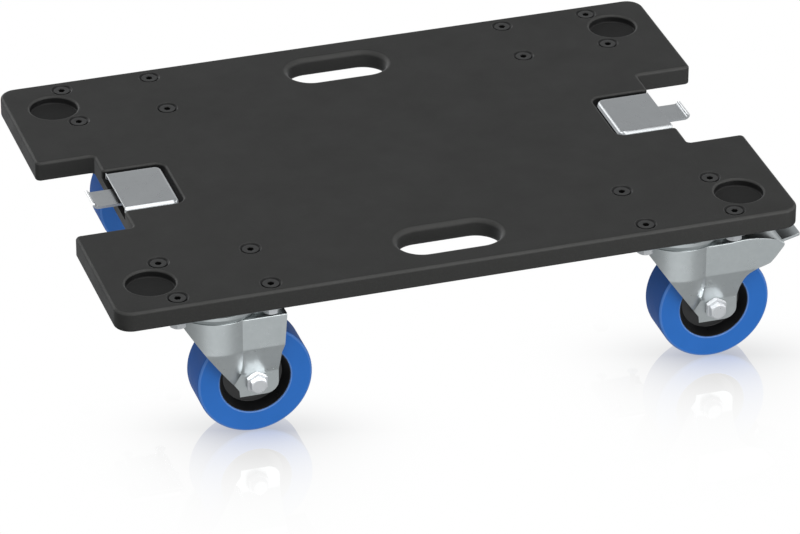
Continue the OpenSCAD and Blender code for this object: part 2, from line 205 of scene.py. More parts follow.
def rings(s, loop, levels, m=0, closed=True):
    """Stacks rings (d, z) from the top one down, and gives back the first and the last."""
    made = [ring(s, loop, d, z) for d, z in levels]
    for a, b in zip(made[:-1], made[1:]):
        s.strip(a, b, closed, m)
    return made[0], made[-1]


def round_over(r, z=0.0, n=6, down=True):
    """Levels (d, z) of a quarter round from the top face to the wall, or from the wall to the bottom face."""
    out = []
    for k in range(n + 1):
        t = math.pi / 2 * k / n
        out.append((r * (1 - math.sin(t)), z - r * (1 - math.cos(t))) if down else (r * (1 - math.cos(t)), z + r * (1 - math.sin(t))))
    return out


def lathe(profile, n=48, m=0, closed=False):
    """A profile of (r, z) turned about Z. Run the profile so that the material is on its left: up the inside and down the outside."""
    s = Shape()
    made = []
    for r, z in profile:
        if r < 1e-6:
            made.append(s.add([(0, 0, z)]) * n)
        else:
            made.append(s.add([(r * math.cos(2 * math.pi * k / n), r * math.sin(2 * math.pi * k / n), z) for k in range(n)]))
    pairs = list(zip(made[:-1], made[1:])) + ([(made[-1], made[0])] if closed else [])
    for a, b in pairs:
        for i in range(n):
            j = (i + 1) % n
            s.face((a[i], b[i], b[j], a[j]), m)
    return s


def section_round(pts, radii, step=15):
    """Rounds the corners of an open or closed profile of (r, z) points."""
    out, n = [], len(pts)
    for i in range(n):
        r = radii[i] if isinstance(radii, (list, tuple)) else radii
        if r <= 0:
            out.append(pts[i])
            continue
        a, b, c = Vector(pts[i - 1]), Vector(pts[i]), Vector(pts[(i + 1) % n])
        d1, d2 = (b - a).normalized(), (c - b).normalized()
        phi = math.atan2(d1.x * d2.y - d1.y * d2.x, d1.dot(d2))
        t = min(r * math.tan(abs(phi) / 2), (b - a).length * 0.49, (c - b).length * 0.49)
        r = t / max(math.tan(abs(phi) / 2), 1e-6)
        s = 1 if phi > 0 else -1
        p = b - d1 * t
        cen = Vector((p.x - s * r * d1.y, p.y + s * r * d1.x))
        steps = max(1, math.ceil(abs(math.degrees(phi)) / step))
        for k in range(steps + 1):
            g = phi * k / steps
            dx, dy = d1.x * math.cos(g) - d1.y * math.sin(g), d1.x * math.sin(g) + d1.y * math.cos(g)
            out.append((cen.x + s * r * dy, cen.y - s * r * dx))
    return out


def hex_head(af, h, chamfer_top=True, chamfer_bottom=False, bore=0.0, cup=0.0, turn=30.0, base_r=None, soft=0.35):
    """A hexagon standing on z = 0 with 30 degree chamfered corners and softened edges. bore cuts a round hole, cup dishes the top."""
    s = Shape()
    rin = af / 2
    rc = rin / math.cos(math.radians(30))
    n = 72
    chamfer = 0.95 * rin

    def hexr(a):
        a = (a - math.radians(turn - 30)) % (math.pi / 3) - math.pi / 6
        r = rin / math.cos(a)
        return min(r, rc - soft * 0.155)

    ang = [2 * math.pi * k / n for k in range(n)]
    slope = math.tan(math.radians(30))
    levels = []
    if chamfer_bottom:
        b = chamfer if base_r is None else base_r
        levels.append([(min(b, hexr(a)) - 0.15, 0.0) for a in ang])
        levels.append([(min(b, hexr(a)), 0.15) for a in ang])
        levels.append([(hexr(a), 0.15 + max(0.0, hexr(a) - b) * slope) for a in ang])
    else:
        levels.append([(hexr(a) - 0.12, 0.0) for a in ang])
        levels.append([(hexr(a), 0.12) for a in ang])
    if chamfer_top:
        levels.append([(hexr(a), h - 0.1 - max(0.0, hexr(a) - chamfer) * slope) for a in ang])
        levels.append([(chamfer, h - 0.1) for a in ang])
        levels.append([(chamfer - 0.35, h) for a in ang])
    else:
        levels.append([(hexr(a), h - 0.12) for a in ang])
        levels.append([(hexr(a) - 0.12, h) for a in ang])
    rows = [s.add([(r * math.cos(a), r * math.sin(a), z) for a, (r, z) in zip(ang, lv)]) for lv in levels]
    for lo, hi in zip(rows[:-1], rows[1:]):
        s.strip(hi, lo)
    if bore:
        top = s.add([((bore + 0.45) * math.cos(a), (bore + 0.45) * math.sin(a), h) for a in ang])
        top2 = s.add([(bore * math.cos(a), bore * math.sin(a), h - 0.45) for a in ang])
        bot2 = s.add([(bore * math.cos(a), bore * math.sin(a), 0.45) for a in ang])
        bot = s.add([((bore + 0.45) * math.cos(a), (bore + 0.45) * math.sin(a), 0) for a in ang])
        s.strip(top, rows[-1])
        s.strip(top2, top)
        s.strip(bot2, top2)
        s.strip(bot, bot2)
        s.strip(rows[0], bot)
    else:
        inner = s.add([((chamfer - 1.6) * math.cos(a), (chamfer - 1.6) * math.sin(a), h) for a in ang])
        s.strip(inner, rows[-1])
        if cup:
            dish = s.add([((chamfer - 2.3) * math.cos(a), (chamfer - 2.3) * math.sin(a), h - cup) for a in ang])
            s.strip(dish, inner)
            inner, h2 = dish, h - cup
        else:
            h2 = h
        s.fan(s.add([(0, 0, h2)])[0], inner)
        s.fan(s.add([(0, 0, 0)])[0], rows[0], flip=True)
    return s


def thread(r, z0, z1, pitch=1.25, depth=0.55, n=24, chamfer=0.9, tip=True, closed_top=False):
    """A screw thread about Z from z0 (free end) up to z1, whose crest is r."""
    s = Shape()
    per = 6
    rows_n = max(4, int((z1 - z0) / pitch * per))
    rows = []
    for k in range(rows_n + 1):
        z = z0 + (z1 - z0) * k / rows_n
        pts = []
        for i in range(n):
            a = 2 * math.pi * i / n
            u = ((z - z0) / pitch - i / n) % 1.0
            cut = depth * (1 - abs(2 * u - 1))
            fade = min(1.0, max(0.0, (z1 - z) / 0.6))
            rr = r - cut * fade
            if z - z0 < chamfer:
                rr = min(rr, r - depth - 0.2 + (z - z0) * (depth + 0.2) / chamfer)
            pts.append((rr * math.cos(a), rr * math.sin(a), z))
        rows.append(s.add(pts))
    for lo, hi in zip(rows[:-1], rows[1:]):
        s.strip(hi, lo)
    if tip:
        s.fan(s.add([(0, 0, z0)])[0], rows[0], flip=True)
    if closed_top:
        s.fan(s.add([(0, 0, z1)])[0], rows[-1])
    return s, rows[-1]


def make(name, shape, body, mats, stands_for=(), sharp=32.0, at=(0, 0, 0), bevel=0.0, bevel_angle=40.0, weighted=True, segments=2, weld=True):
    me = bpy.data.meshes.new(name)
    me.from_pydata([(x * MM, y * MM, z * MM) for x, y, z in shape.v], [], shape.f)
    if len(mats) > 1:
        me.polygons.foreach_set("material_index", shape.m)
    me.validate(verbose=False)
    if weld:
        bm = bmesh.new()
        bm.from_mesh(me)
        loose = [v for v in bm.verts if not v.link_faces]
        bmesh.ops.delete(bm, geom=loose, context="VERTS")
        bmesh.ops.remove_doubles(bm, verts=bm.verts, dist=0.003 * MM)
        bm.to_mesh(me)
        bm.free()
    for mat in mats:
        me.materials.append(mat)
    me.polygons.foreach_set("use_smooth", [True] * len(me.polygons))
    me.set_sharp_from_angle(angle=math.radians(sharp))
    me.update()
    ob = bpy.data.objects.new(name, me)
    scene.collection.objects.link(ob)
    ob.location = [c * MM for c in at]
    if bevel:
        b = ob.modifiers.new("edge_softening", "BEVEL")
        b.width = bevel * MM
        b.segments = segments
        b.limit_method = "ANGLE"
        b.angle_limit = math.radians(bevel_angle)
        b.harden_normals = False
        b.use_clamp_overlap = True
    if weighted:
        w = ob.modifiers.new("face_weighting", "WEIGHTED_NORMAL")
        w.keep_sharp = True
        w.weight = 60
    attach(ob, body)
    if stands_for:
        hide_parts(*([stands_for] if isinstance(stands_for, str) else stands_for))
    return ob


# ------------------------------------------------------------------ materials
class Mat:
    """A Principled material with a few helpers for layered noise."""

    def __init__(self, name, **fixed):
        self.mat = bpy.data.materials.new(name)
        self.mat.use_nodes = True
        self.t = self.mat.node_tree
        self.p = self.t.nodes["Principled BSDF"]
        for k, v in fixed.items():
            self.p.inputs[k.replace("_", " ")].default_value = v
        self.co = self.t.nodes.new("ShaderNodeTexCoord").outputs["Object"]
        self.rand = self.t.nodes.new("ShaderNodeObjectInfo").outputs["Random"]
        self.bump = None

    def node(self, kind, **props):
        n = self.t.nodes.new(kind)
        for k, v in props.items():
            setattr(n, k, v)
        return n

    def link(self, a, b):
        self.t.links.new(a, b)

    def stretched(self, scale, turn=(0, 0, 0)):
        n = self.node("ShaderNodeMapping")
        n.inputs["Scale"].default_value = scale
        n.inputs["Rotation"].default_value = turn
        self.link(self.co, n.inputs["Vector"])
        return n.outputs["Vector"]

    def noise(self, scale, detail=3.0, rough=0.55, vector=None, distortion=0.0, lo=None, hi=None, to=(0.0, 1.0), vary=True):
        n = self.node("ShaderNodeTexNoise", noise_dimensions="4D" if vary else "3D")
        n.inputs["Scale"].default_value = scale
        n.inputs["Detail"].default_value = detail
        n.inputs["Roughness"].default_value = rough
        n.inputs["Distortion"].default_value = distortion
        self.link(vector or self.co, n.inputs["Vector"])
        if vary:
            m = self.node("ShaderNodeMath", operation="MULTIPLY")
            m.inputs[1].default_value = 37.0
            self.link(self.rand, m.inputs[0])
            self.link(m.outputs[0], n.inputs["W"])
        return n.outputs["Fac"] if lo is None else self.range(n.outputs["Fac"], lo, hi, *to)

    def voronoi(self, scale, vector=None, feature="F1", rand=1.0):
        n = self.node("ShaderNodeTexVoronoi", feature=feature)
        n.inputs["Scale"].default_value = scale
        n.inputs["Randomness"].default_value = rand
        self.link(vector or self.co, n.inputs["Vector"])
        return n.outputs["Distance"]

    def range(self, x, lo, hi, a=0.0, b=1.0, smooth=False):
        n = self.node("ShaderNodeMapRange")
        n.interpolation_type = "SMOOTHSTEP" if smooth else "LINEAR"
        n.clamp = True
        for i, v in zip((1, 2, 3, 4), (lo, hi, a, b)):
            n.inputs[i].default_value = v
        self.link(x, n.inputs[0])
        return n.outputs[0]

    def math(self, op, a, b):
        n = self.node("ShaderNodeMath", operation=op)
        for i, x in enumerate((a, b)):
            if isinstance(x, (int, float)):
                n.inputs[i].default_value = x
            else:
                self.link(x, n.inputs[i])
        return n.outputs[0]

    def mix(self, fac, a, b):
        n = self.node("ShaderNodeMix", data_type="RGBA")
        if isinstance(fac, (int, float)):
            n.inputs[0].default_value = fac
        else:
            self.link(fac, n.inputs[0])
        for i, x in ((6, a), (7, b)):
            if isinstance(x, tuple):
                n.inputs[i].default_value = (*x, 1.0)
            else:
                self.link(x, n.inputs[i])
        return n.outputs[2]

    def colour(self, x):
        self.link(x, self.p.inputs["Base Color"])
        return self

    def rough(self, x):
        self.link(x, self.p.inputs["Roughness"])
        return self

    def bumped(self, height, distance, strength=1.0):
        n = self.node("ShaderNodeBump")
        n.inputs["Strength"].default_value = strength
        n.inputs["Distance"].default_value = distance
        self.link(height, n.inputs["Height"])
        if self.bump is not None:
            self.link(self.bump, n.inputs["Normal"])
        self.bump = n.outputs["Normal"]
        self.link(self.bump, self.p.inputs["Normal"])
        return self


def board_paint():
    m = Mat("board_paint", Specular_IOR_Level=0.24)
    cloud = m.noise(9.0, 4.0, 0.6)
    fine = m.noise(900.0, 3.0, 0.6, vary=False)
    spots = m.voronoi(1500.0)
    base = m.mix(cloud, (0.0125, 0.0125, 0.0118), (0.0145, 0.0145, 0.0137))
    col = m.mix(m.range(fine, 0.45, 0.75), base, (0.0190, 0.0190, 0.0180))
    pos, nrm = m.node("ShaderNodeSeparateXYZ"), m.node("ShaderNodeSeparateXYZ")
    m.link(m.co, pos.inputs[0])
    m.link(m.node("ShaderNodeNewGeometry").outputs["Normal"], nrm.inputs[0])
    x, y, z = pos.outputs
    nz = nrm.outputs[2]
    # the coat is lighter along the rounded rims of the upper side: partly rubbed coat, partly a painted highlight on
    # the rims
    rim = m.math("MULTIPLY", m.range(nz, 0.995, 0.92, smooth=True), m.range(nz, 0.12, 0.5, smooth=True))
    rim = m.math("MULTIPLY", rim, m.math("MULTIPLY", m.range(z, -0.0052, -0.0044), m.range(m.noise(60.0, 5.0, 0.7), 0.2, 0.7, 0.6, 1.0)))
    col = m.mix(rim, col, (0.035, 0.035, 0.0335))
    # painted shade: the sunk floors of the cups are darkened, and their walls and the latch pockets are painted almost
    # black, for the shade in these recesses
    sunk_shade = m.math("MULTIPLY", m.range(z, -0.0045, -0.0062), m.range(nz, 0.6, 0.95))
    col = m.mix(sunk_shade, col, (0.0082, 0.0082, 0.0080))
    ax, ay = m.math("ABSOLUTE", x, 0.0), m.math("ABSOLUTE", y, 0.0)
    pocket = m.math("MULTIPLY", m.range(ay, 0.0378, 0.0372), m.math("MULTIPLY", m.range(ax, 0.1938, 0.1944), m.range(ax, 0.2489, 0.2485)))
    pocket = m.math("MULTIPLY", pocket, m.math("MULTIPLY", m.range(z, -0.0012, -0.0026), m.range(z, -0.0084, -0.0082)))
    # painted shade: the cup walls are painted almost black
    cup = m.math("SQRT", m.math("ADD", m.math("POWER", m.math("SUBTRACT", ax, 0.26), 2.0), m.math("POWER", m.math("SUBTRACT", ay, 0.16), 2.0)), 0.0)
    cup = m.math("MULTIPLY", m.range(cup, 0.0218, 0.0215), m.math("MULTIPLY", m.range(nz, 0.85, 0.5), m.range(z, -0.0016, -0.0024)))
    col = m.mix(cup, col, (0.0035, 0.0035, 0.0035))
    # the seats of the screws are painted dark as well, as painted shade
    sx = m.math("ABSOLUTE", m.math("SUBTRACT", m.math("ABSOLUTE", m.math("SUBTRACT", ax, 0.205), 0.0), 0.04), 0.0)
    sy = m.math("ABSOLUTE", m.math("SUBTRACT", m.math("ABSOLUTE", m.math("SUBTRACT", ay, 0.16), 0.0), 0.03), 0.0)
    seat_shade = m.math("SQRT", m.math("ADD", m.math("POWER", sx, 2.0), m.math("POWER", sy, 2.0)), 0.0)
    seat_shade = m.math("MULTIPLY", m.range(seat_shade, 0.0095, 0.0091), m.range(z, -0.0001, -0.0004))
    col = m.mix(seat_shade, col, (0.0045, 0.0045, 0.0045))
    # painted shade: the latch pockets are painted almost black
    m.colour(m.mix(pocket, col, (0.0012, 0.0012, 0.0012)))
    m.rough(m.math("ADD", m.range(m.noise(24.0, 4.0, 0.6), 0.3, 0.7, 0.48, 0.6), m.math("MULTIPLY", m.math("MAXIMUM", pocket, sunk_shade), 0.3)))
    m.bumped(m.math("ADD", m.range(spots, 0.0, 0.7), m.math("MULTIPLY", fine, 0.7)), 0.00012, 0.35)
    return m.mat


def metal(name, tint, dark, rough, grain=(1.0, 1.0, 1.0), scale=60.0, spangle=0.0, scratch=0.1, metallic=1.0, low=None):
    m = Mat(name, Metallic=metallic)
    cloud = m.noise(scale * 0.35, 4.0, 0.6)
    mottled = m.noise(scale * 4.0, 5.0, 0.65, vector=m.stretched(grain))
    col = m.mix(m.range(cloud, 0.3, 0.7), dark, tint)
    col = m.mix(m.range(mottled, 0.35, 0.75, 0.0, 0.35), col, tuple(min(1.0, c * 1.16) for c in tint))
    if spangle:
        cell = m.voronoi(scale * 3.0)
        col = m.mix(m.range(cell, 0.1, 0.9, 0.0, spangle), col, tuple(c * 0.86 for c in dark))
    lines = m.noise(scale * 6.0, 2.0, 0.5, vector=m.stretched((1.0, 14.0, 1.0), (0.3, 0.2, 0.5)), distortion=0.4)
    fine = m.range(lines, 0.62, 0.7, 0.0, scratch)
    col = m.mix(fine, col, tuple(min(1.0, c * 1.22) for c in tint))
    if low:  # painted shade: a slightly darker colour below a height, for the shade near the wheels
        pos = m.node("ShaderNodeSeparateXYZ")
        m.link(m.co, pos.inputs[0])
        shade_below = m.math("MULTIPLY", m.range(pos.outputs[2], low[0], low[1]), m.range(cloud, 0.2, 0.7, low[2] * 0.85, low[2]))
        col = m.mix(shade_below, col, tuple(c * 0.2 for c in dark))
    m.colour(col)
    r = m.range(m.noise(scale * 1.3, 5.0, 0.6), 0.25, 0.75, rough * 0.82, rough * 1.2)
    m.rough(m.math("SUBTRACT", r, m.math("MULTIPLY", fine, 0.25)))
    m.bumped(mottled, 0.00005, 0.1)
    return m.mat


def plastic(name, low, high, rough, grain=700.0, spec=0.5, depth=0.00005):
    m = Mat(name, Specular_IOR_Level=spec)
    cloud = m.noise(40.0, 4.0, 0.6)
    m.colour(m.mix(m.range(cloud, 0.3, 0.7), low, high))
    m.rough(m.range(m.noise(120.0, 4.0, 0.6), 0.3, 0.7, rough * 0.88, rough * 1.14))
    m.bumped(m.noise(grain, 3.0, 0.6), depth, 0.35)
    return m.mat


def tyre_rubber():
    m = Mat("tyre_rubber", Specular_IOR_Level=0.3)
    cloud = m.noise(30.0, 4.0, 0.6)
    col = m.mix(m.range(cloud, 0.3, 0.7), (0.010, 0.124, 0.455), (0.014, 0.135, 0.49))
    pos = m.node("ShaderNodeSeparateXYZ")
    m.link(m.co, pos.inputs[0])
    x, y, z = pos.outputs
    r = m.math("SQRT", m.math("ADD", m.math("POWER", x, 2.0), m.math("POWER", z, 2.0)), 0.0)
    side = m.math("ABSOLUTE", y, 0.0)
    patch = m.noise(90.0, 5.0, 0.65)
    # paler along the moulded rims: partly rubbed wear, partly a painted highlight on the rims
    rim_in = m.math("MULTIPLY", m.range(r, 0.0323, 0.0319), m.range(side, 0.0166, 0.0172))
    rim_out = m.math("MULTIPLY", m.range(side, 0.0160, 0.0168), m.math("MULTIPLY", m.range(r, 0.0476, 0.0484), m.range(r, 0.0499, 0.0496)))
    rim_wear_and_highlight = m.math("MULTIPLY", m.math("MAXIMUM", m.math("MULTIPLY", rim_in, 0.36), m.math("MULTIPLY", rim_out, 0.2)), m.range(patch, 0.25, 0.7, 0.6, 1.0))
    m.colour(m.mix(rim_wear_and_highlight, col, (0.30, 0.46, 0.80)))
    m.rough(m.range(m.noise(160.0, 4.0, 0.6), 0.3, 0.7, 0.3, 0.4))
    m.bumped(m.noise(1100.0, 3.0, 0.6), 0.00004, 0.25)
    return m.mat


def tread_rubber_shaded():
    """The rolling face: the same rubber, dulled by use, with fine scuffs across the direction of travel, and a darker
    colour than the side face as painted shade on the tread.
    """
    m = Mat("tread_rubber_shaded", Specular_IOR_Level=0.12)
    cloud = m.noise(38.0, 5.0, 0.65)
    scuff = m.noise(240.0, 4.0, 0.6, vector=m.stretched((1.0, 0.12, 1.0)))
    col = m.mix(m.range(cloud, 0.3, 0.7), (0.011, 0.085, 0.335), (0.015, 0.097, 0.37))
    m.colour(m.mix(m.range(scuff, 0.58, 0.72, 0.0, 0.4), col, (0.020, 0.075, 0.26)))
    m.rough(m.range(cloud, 0.3, 0.7, 0.5, 0.64))
    m.bumped(scuff, 0.00005, 0.3)
    return m.mat


PAINT = board_paint()
# low darkens the forks' lower legs as painted shade near the wheels
ZINC = metal("zinc_sheet", (0.50, 0.53, 0.535), (0.44, 0.475, 0.48), 0.3, scale=55.0, spangle=0.1, low=(-0.0895, -0.0935, 0.17))
KEEPER = metal("keeper_steel", (0.46, 0.475, 0.485), (0.41, 0.425, 0.435), 0.3, grain=(1.0, 9.0, 1.0), scale=70.0)
# brighter steel for the keeper lips' rounded ends: partly rubbed wear, partly painted highlight
WORN_AND_HIGHLIT = metal("worn_and_highlit_steel", (0.90, 0.91, 0.92), (0.84, 0.85, 0.86), 0.34, grain=(1.0, 9.0, 1.0), scale=70.0)
BOLT = metal("zinc_bolt", (0.54, 0.555, 0.57), (0.49, 0.505, 0.52), 0.3, scale=120.0, metallic=0.45)
BALL = metal("ball_steel", (0.56, 0.57, 0.58), (0.5, 0.51, 0.52), 0.18, scale=150.0)
BLACK = plastic("black_oxide", (0.0095, 0.0095, 0.0093), (0.0125, 0.0125, 0.0122), 0.42, grain=900.0, spec=0.4)
# near-black material used as painted shade in screw sockets, screw flanks and the keeper plates' end recesses
SHADE_BLACK = plastic("painted_shade_black", (0.0008, 0.0008, 0.0008), (0.0014, 0.0014, 0.0014), 0.6, grain=900.0, spec=0.15)
HUB = plastic("hub_nylon", (0.0045, 0.0045, 0.005), (0.0065, 0.0065, 0.007), 0.3, grain=800.0, spec=0.55)
SHOE = plastic("shoe_rubber", (0.016, 0.016, 0.017), (0.024, 0.024, 0.025), 0.6, grain=500.0)
TYRE = tyre_rubber()
TREAD_SHADED = tread_rubber_shaded()


# ------------------------------------------------------------------ board
T, HX, HY = -18.0, 300.0, 205.0
NX, NY, PX, PY, PZ = 249.0, 65.5, 194.9, 36.3, -8.1


def board():
    s = Shape()
    half = [(HX, -HY, 15, 0), (HX, -NY, 4.6, 0), (NX, -NY, 3.5, 0), (NX, -PY, 3.4, 2), (PX, -PY, 9, 1),
            (PX, PY, 9, 1), (NX, PY, 3.4, 3), (NX, NY, 3.5, 0), (HX, NY, 4.6, 0), (HX, HY, 15, 0)]
    other = [(-x, -y, r, t) for x, y, r, t in half]
    top = path(half + other)
    # where the pocket's wall runs: after the first point of a tag 2 corner up to the last but one of a tag 3 corner
    n = len(top)
    pocket = [False] * n
    ends = []
    rim = [3.0] * n
    i = 0
    while i < n:
        if top[i][4] == 2 and top[i - 1][4] != 2:
            j = i
            while top[j][4] == 2:
                j += 1
            k = j
            while top[k][4] == 1:
                k += 1
            e = k
            while e < n and top[e % n][4] == 3:
                e += 1
            ends.append((i, e - 1))
            for q in range(i + 1, e - 1):
                pocket[q] = True
            for q in range(i, e):
                if q < j:
                    rim[q] = 3.0 - 0.7 * ease((q - i) / (j - 1 - i))
                elif q < k:
                    rim[q] = 2.3
                else:
                    rim[q] = 2.3 + 0.7 * ease((q - k) / (e - 1 - k))
            i = e
        i += 1
    K = 6
    made = []
    for k in range(K + 1):
        t = math.pi / 2 * k / K
        made.append(ring(s, top, [r * (1 - math.sin(t)) for r in rim], [-r * (1 - math.cos(t)) for r in rim]))
    made.append(ring(s, top, 0.0, PZ))
    for a, b in zip(made[:-1], made[1:]):
        s.strip(a, b)
    top_ring, mid = made[0], made[-1]
    # the outer wall goes on down from the pocket's level, and so does the cut-out's wall under each pocket
    lower = []  # (x, y, nx, ny, index at the pocket's level or None)
    q = 0
    start = ends[0][1]
    order = [(start + k) % n for k in range(n)]
    skip = set(k for a, b in ends for k in range(a + 1, b))
    for k in order:
        if k in skip:
            continue
        lower.append((*top[k][:4], mid[k]))
        if k in (ends[0][0], ends[1][0]):
            e = ends[0] if k == ends[0][0] else ends[1]
            a, b = top[e[0]], top[e[1]]
            for g in range(1, 12):
                y = a[1] + (b[1] - a[1]) * g / 12
                lower.append((a[0], y, a[2], 0.0, None))
    lip = [s.add([(p[0], p[1], PZ)])[0] if p[4] is None else p[4] for p in lower]
    low = [lip] + [ring(s, lower, d, z) for d, z in [(0.0, T + 1.5)] + round_over(1.5, T, 4, False)[1:]]
    for a, b in zip(low[:-1], low[1:]):
        s.strip(a, b)
    bottom_ring = low[-1]
    # pocket floors with their four holes
    top_holes, bottom_holes = [], []
    for (a, b), sx in zip(ends, (1, -1)):
        edge = [mid[k] for k in range(a, b + 1)]
        ia = lip.index(mid[a])
        between = [lip[(ia + g) % len(lip)] for g in range(1, 12)]
        floor = edge + between[::-1]
        cuts = []
        for x in (207, 237):
            for y in (-22, 22):
                lp = hole(sx * x, y, 2.75, 20)
                h0, h1 = rings(s, lp, [(0.25, PZ), (0.0, PZ - 0.25), (0.0, T + 2.5), (-2.0 + 4.2, T + 0.05), (2.3, T)])
                cuts.append(h0)
                bottom_holes.append(h1)
        s.cap(floor, cuts)
    # hand slots, rounded on both faces
    for sy in (-1, 1):
        y = sy * 160
        st = path([(-45, y - 21, 21), (-45, y + 21, 21), (45, y + 21, 21), (45, y - 21, 21)], 6.0)
        lv = round_over(5.0, 0.0, 8) + [(0.0, -13.0)] + round_over(5.0, T, 8, False)[1:]
        a, b = rings(s, st, lv)
        top_holes.append(a)
        bottom_holes.append(b)
    # foot cups with a small fillet round the floor
    for sx in (-1, 1):
        for sy in (-1, 1):
            lp = hole(sx * 260, sy * 160, 21.0, 72)
            lv = round_over(2.5, 0.0, 6) + [(-1.6 * (1 - math.cos(t)), -5.9 - 1.6 * math.sin(t)) for t in [math.pi / 2 * k / 4 for k in range(5)]]
            a, b = rings(s, lp, lv)
            top_holes.append(a)
            mid_r = ring(s, lp, -10.0, -7.5)
            s.strip(b, mid_r)
            c = s.add([(sx * 260, sy * 160, -7.5)])[0]
            s.fan(c, mid_r[::-1])
    # countersunk seats and through holes
    for cx, cy in CASTORS.values():
        for dx in (-40, 40):
            for dy in (-30, 30):
                lp = hole(cx + dx, cy + dy, 9.3, 40)
                a, b = rings(s, lp, [(0.6, 0.0), (0.2, -0.08), (0.0, -0.3), (-5.05, -5.2), (-5.1, -5.4), (-5.1, T + 0.3), (-4.8, T)])
                top_holes.append(a)
                bottom_holes.append(b)
    s.cap(top_ring, top_holes)
    s.cap(bottom_ring, bottom_holes, up=False)
    return s


board_ob = make("board_body", board(), "board", [PAINT], "deck", sharp=38.0)


# ------------------------------------------------------------------ board screws and nuts
def deck_screw():
    """M8 countersunk screw: socket, head, shank and thread, axis at the origin."""
    s = Shape()
    n = 48
    ang = [2 * math.pi * k / n for k in range(n)]
    circ = lambda r, z: s.add([(r * math.cos(a), r * math.sin(a), z) for a in ang])

    def hexa(af, z):
        out = []
        for a in ang:
            b = (a + math.pi / 6) % (math.pi / 3) - math.pi / 6
            out.append((af / 2 / math.cos(b) * math.cos(a), af / 2 / math.cos(b) * math.sin(a), z))
        return s.add(out)

    pts = [hexa(4.95, -4.2), hexa(5.0, -1.25), hexa(5.4, -0.95), circ(3.5, -0.75), circ(6.5, -0.72), circ(6.95, -0.8), circ(7.2, -1.1), circ(7.2, -2.1),
           circ(4.15, -5.25), circ(3.98, -5.6), circ(3.98, -17.0)]
    # the socket and the head's flank take the near-black material, as painted shade
    for k, (a, b) in enumerate(zip(pts[:-1], pts[1:])):
        s.strip(a, b, m=0 if k in (2, 3, 4) else 1)
    s.fan(s.add([(0, 0, -4.7)])[0], pts[0], m=1)
    t, last = thread(3.98, -27.8, -17.0, n=n)
    base = len(s.v)
    s.joined(t)
    s.strip(pts[-1], [i + base for i in last])
    return s


def many(one, places):
    s = Shape()
    for x, y, z, turn in places:
        c, d = math.cos(turn), math.sin(turn)
        part = Shape()
        part.v = [(px * c - py * d, px * d + py * c, pz) for px, py, pz in one.v]
        part.f, part.m = one.f, one.m
        s.joined(part, (x, y, z))
    return s


BOLTS = [(cx + dx, cy + dy) for cx, cy in CASTORS.values() for dx in (-40, 40) for dy in (-30, 30)]
TURNS = [0.35, 1.1, 0.72, 0.05, 0.9, 0.2, 0.58, 1.0, 0.44, 0.8, 0.12, 0.65, 0.97, 0.28, 0.5, 0.86]
make("deck_screw_set", many(deck_screw(), [(x, y, 0, t) for (x, y), t in zip(BOLTS, TURNS)]), "board", [BLACK, SHADE_BLACK], "deck_screws", sharp=28.0)
NUT_TURN = [0.2, 0.55, 0.0, 0.9, 0.35, 0.7, 0.12, 0.48, 0.05, 0.82, 0.26, 0.6, 0.15, 0.4, 0.75, 0.3]
make("castor_nut_set", many(hex_head(13, 6.5, True, True, bore=4.02), [(x, y, -27.5, t) for (x, y), t in zip(BOLTS, NUT_TURN)]), "board", [BOLT], "castor_nuts", sharp=28.0)


# ------------------------------------------------------------------ keepers
def plate_solid(loop, z0, z1, holes=(), soft=0.5, soft_low=0.3, m=0):
    """A flat plate from a closed path with softened rims and round holes (x, y, r)."""
    s = Shape()
    lv = round_over(soft, z1, 3) + [(d, z) for d, z in round_over(soft_low, z0, 2, False)]
    a, b = rings(s, loop, lv, m)
    ta, tb = [], []
    for x, y, r, *more in holes:
        lp = hole(x, y, r, 28)
        if more:  # countersunk from the top to radius more[0]
            hv = [(more[0] - r, z1), (0.0, z1 - (more[0] - r) * more[1]), (0.0, z0)]
        else:
            hv = [(0.3, z1), (0.0, z1 - 0.3), (0.0, z0 + 0.3), (0.3, z0)]
        p, q = rings(s, lp, hv, m)
        ta.append(p)
        tb.append(q)
    s.cap(a, ta, m)
    s.cap(b, tb, m, up=False)
    return s


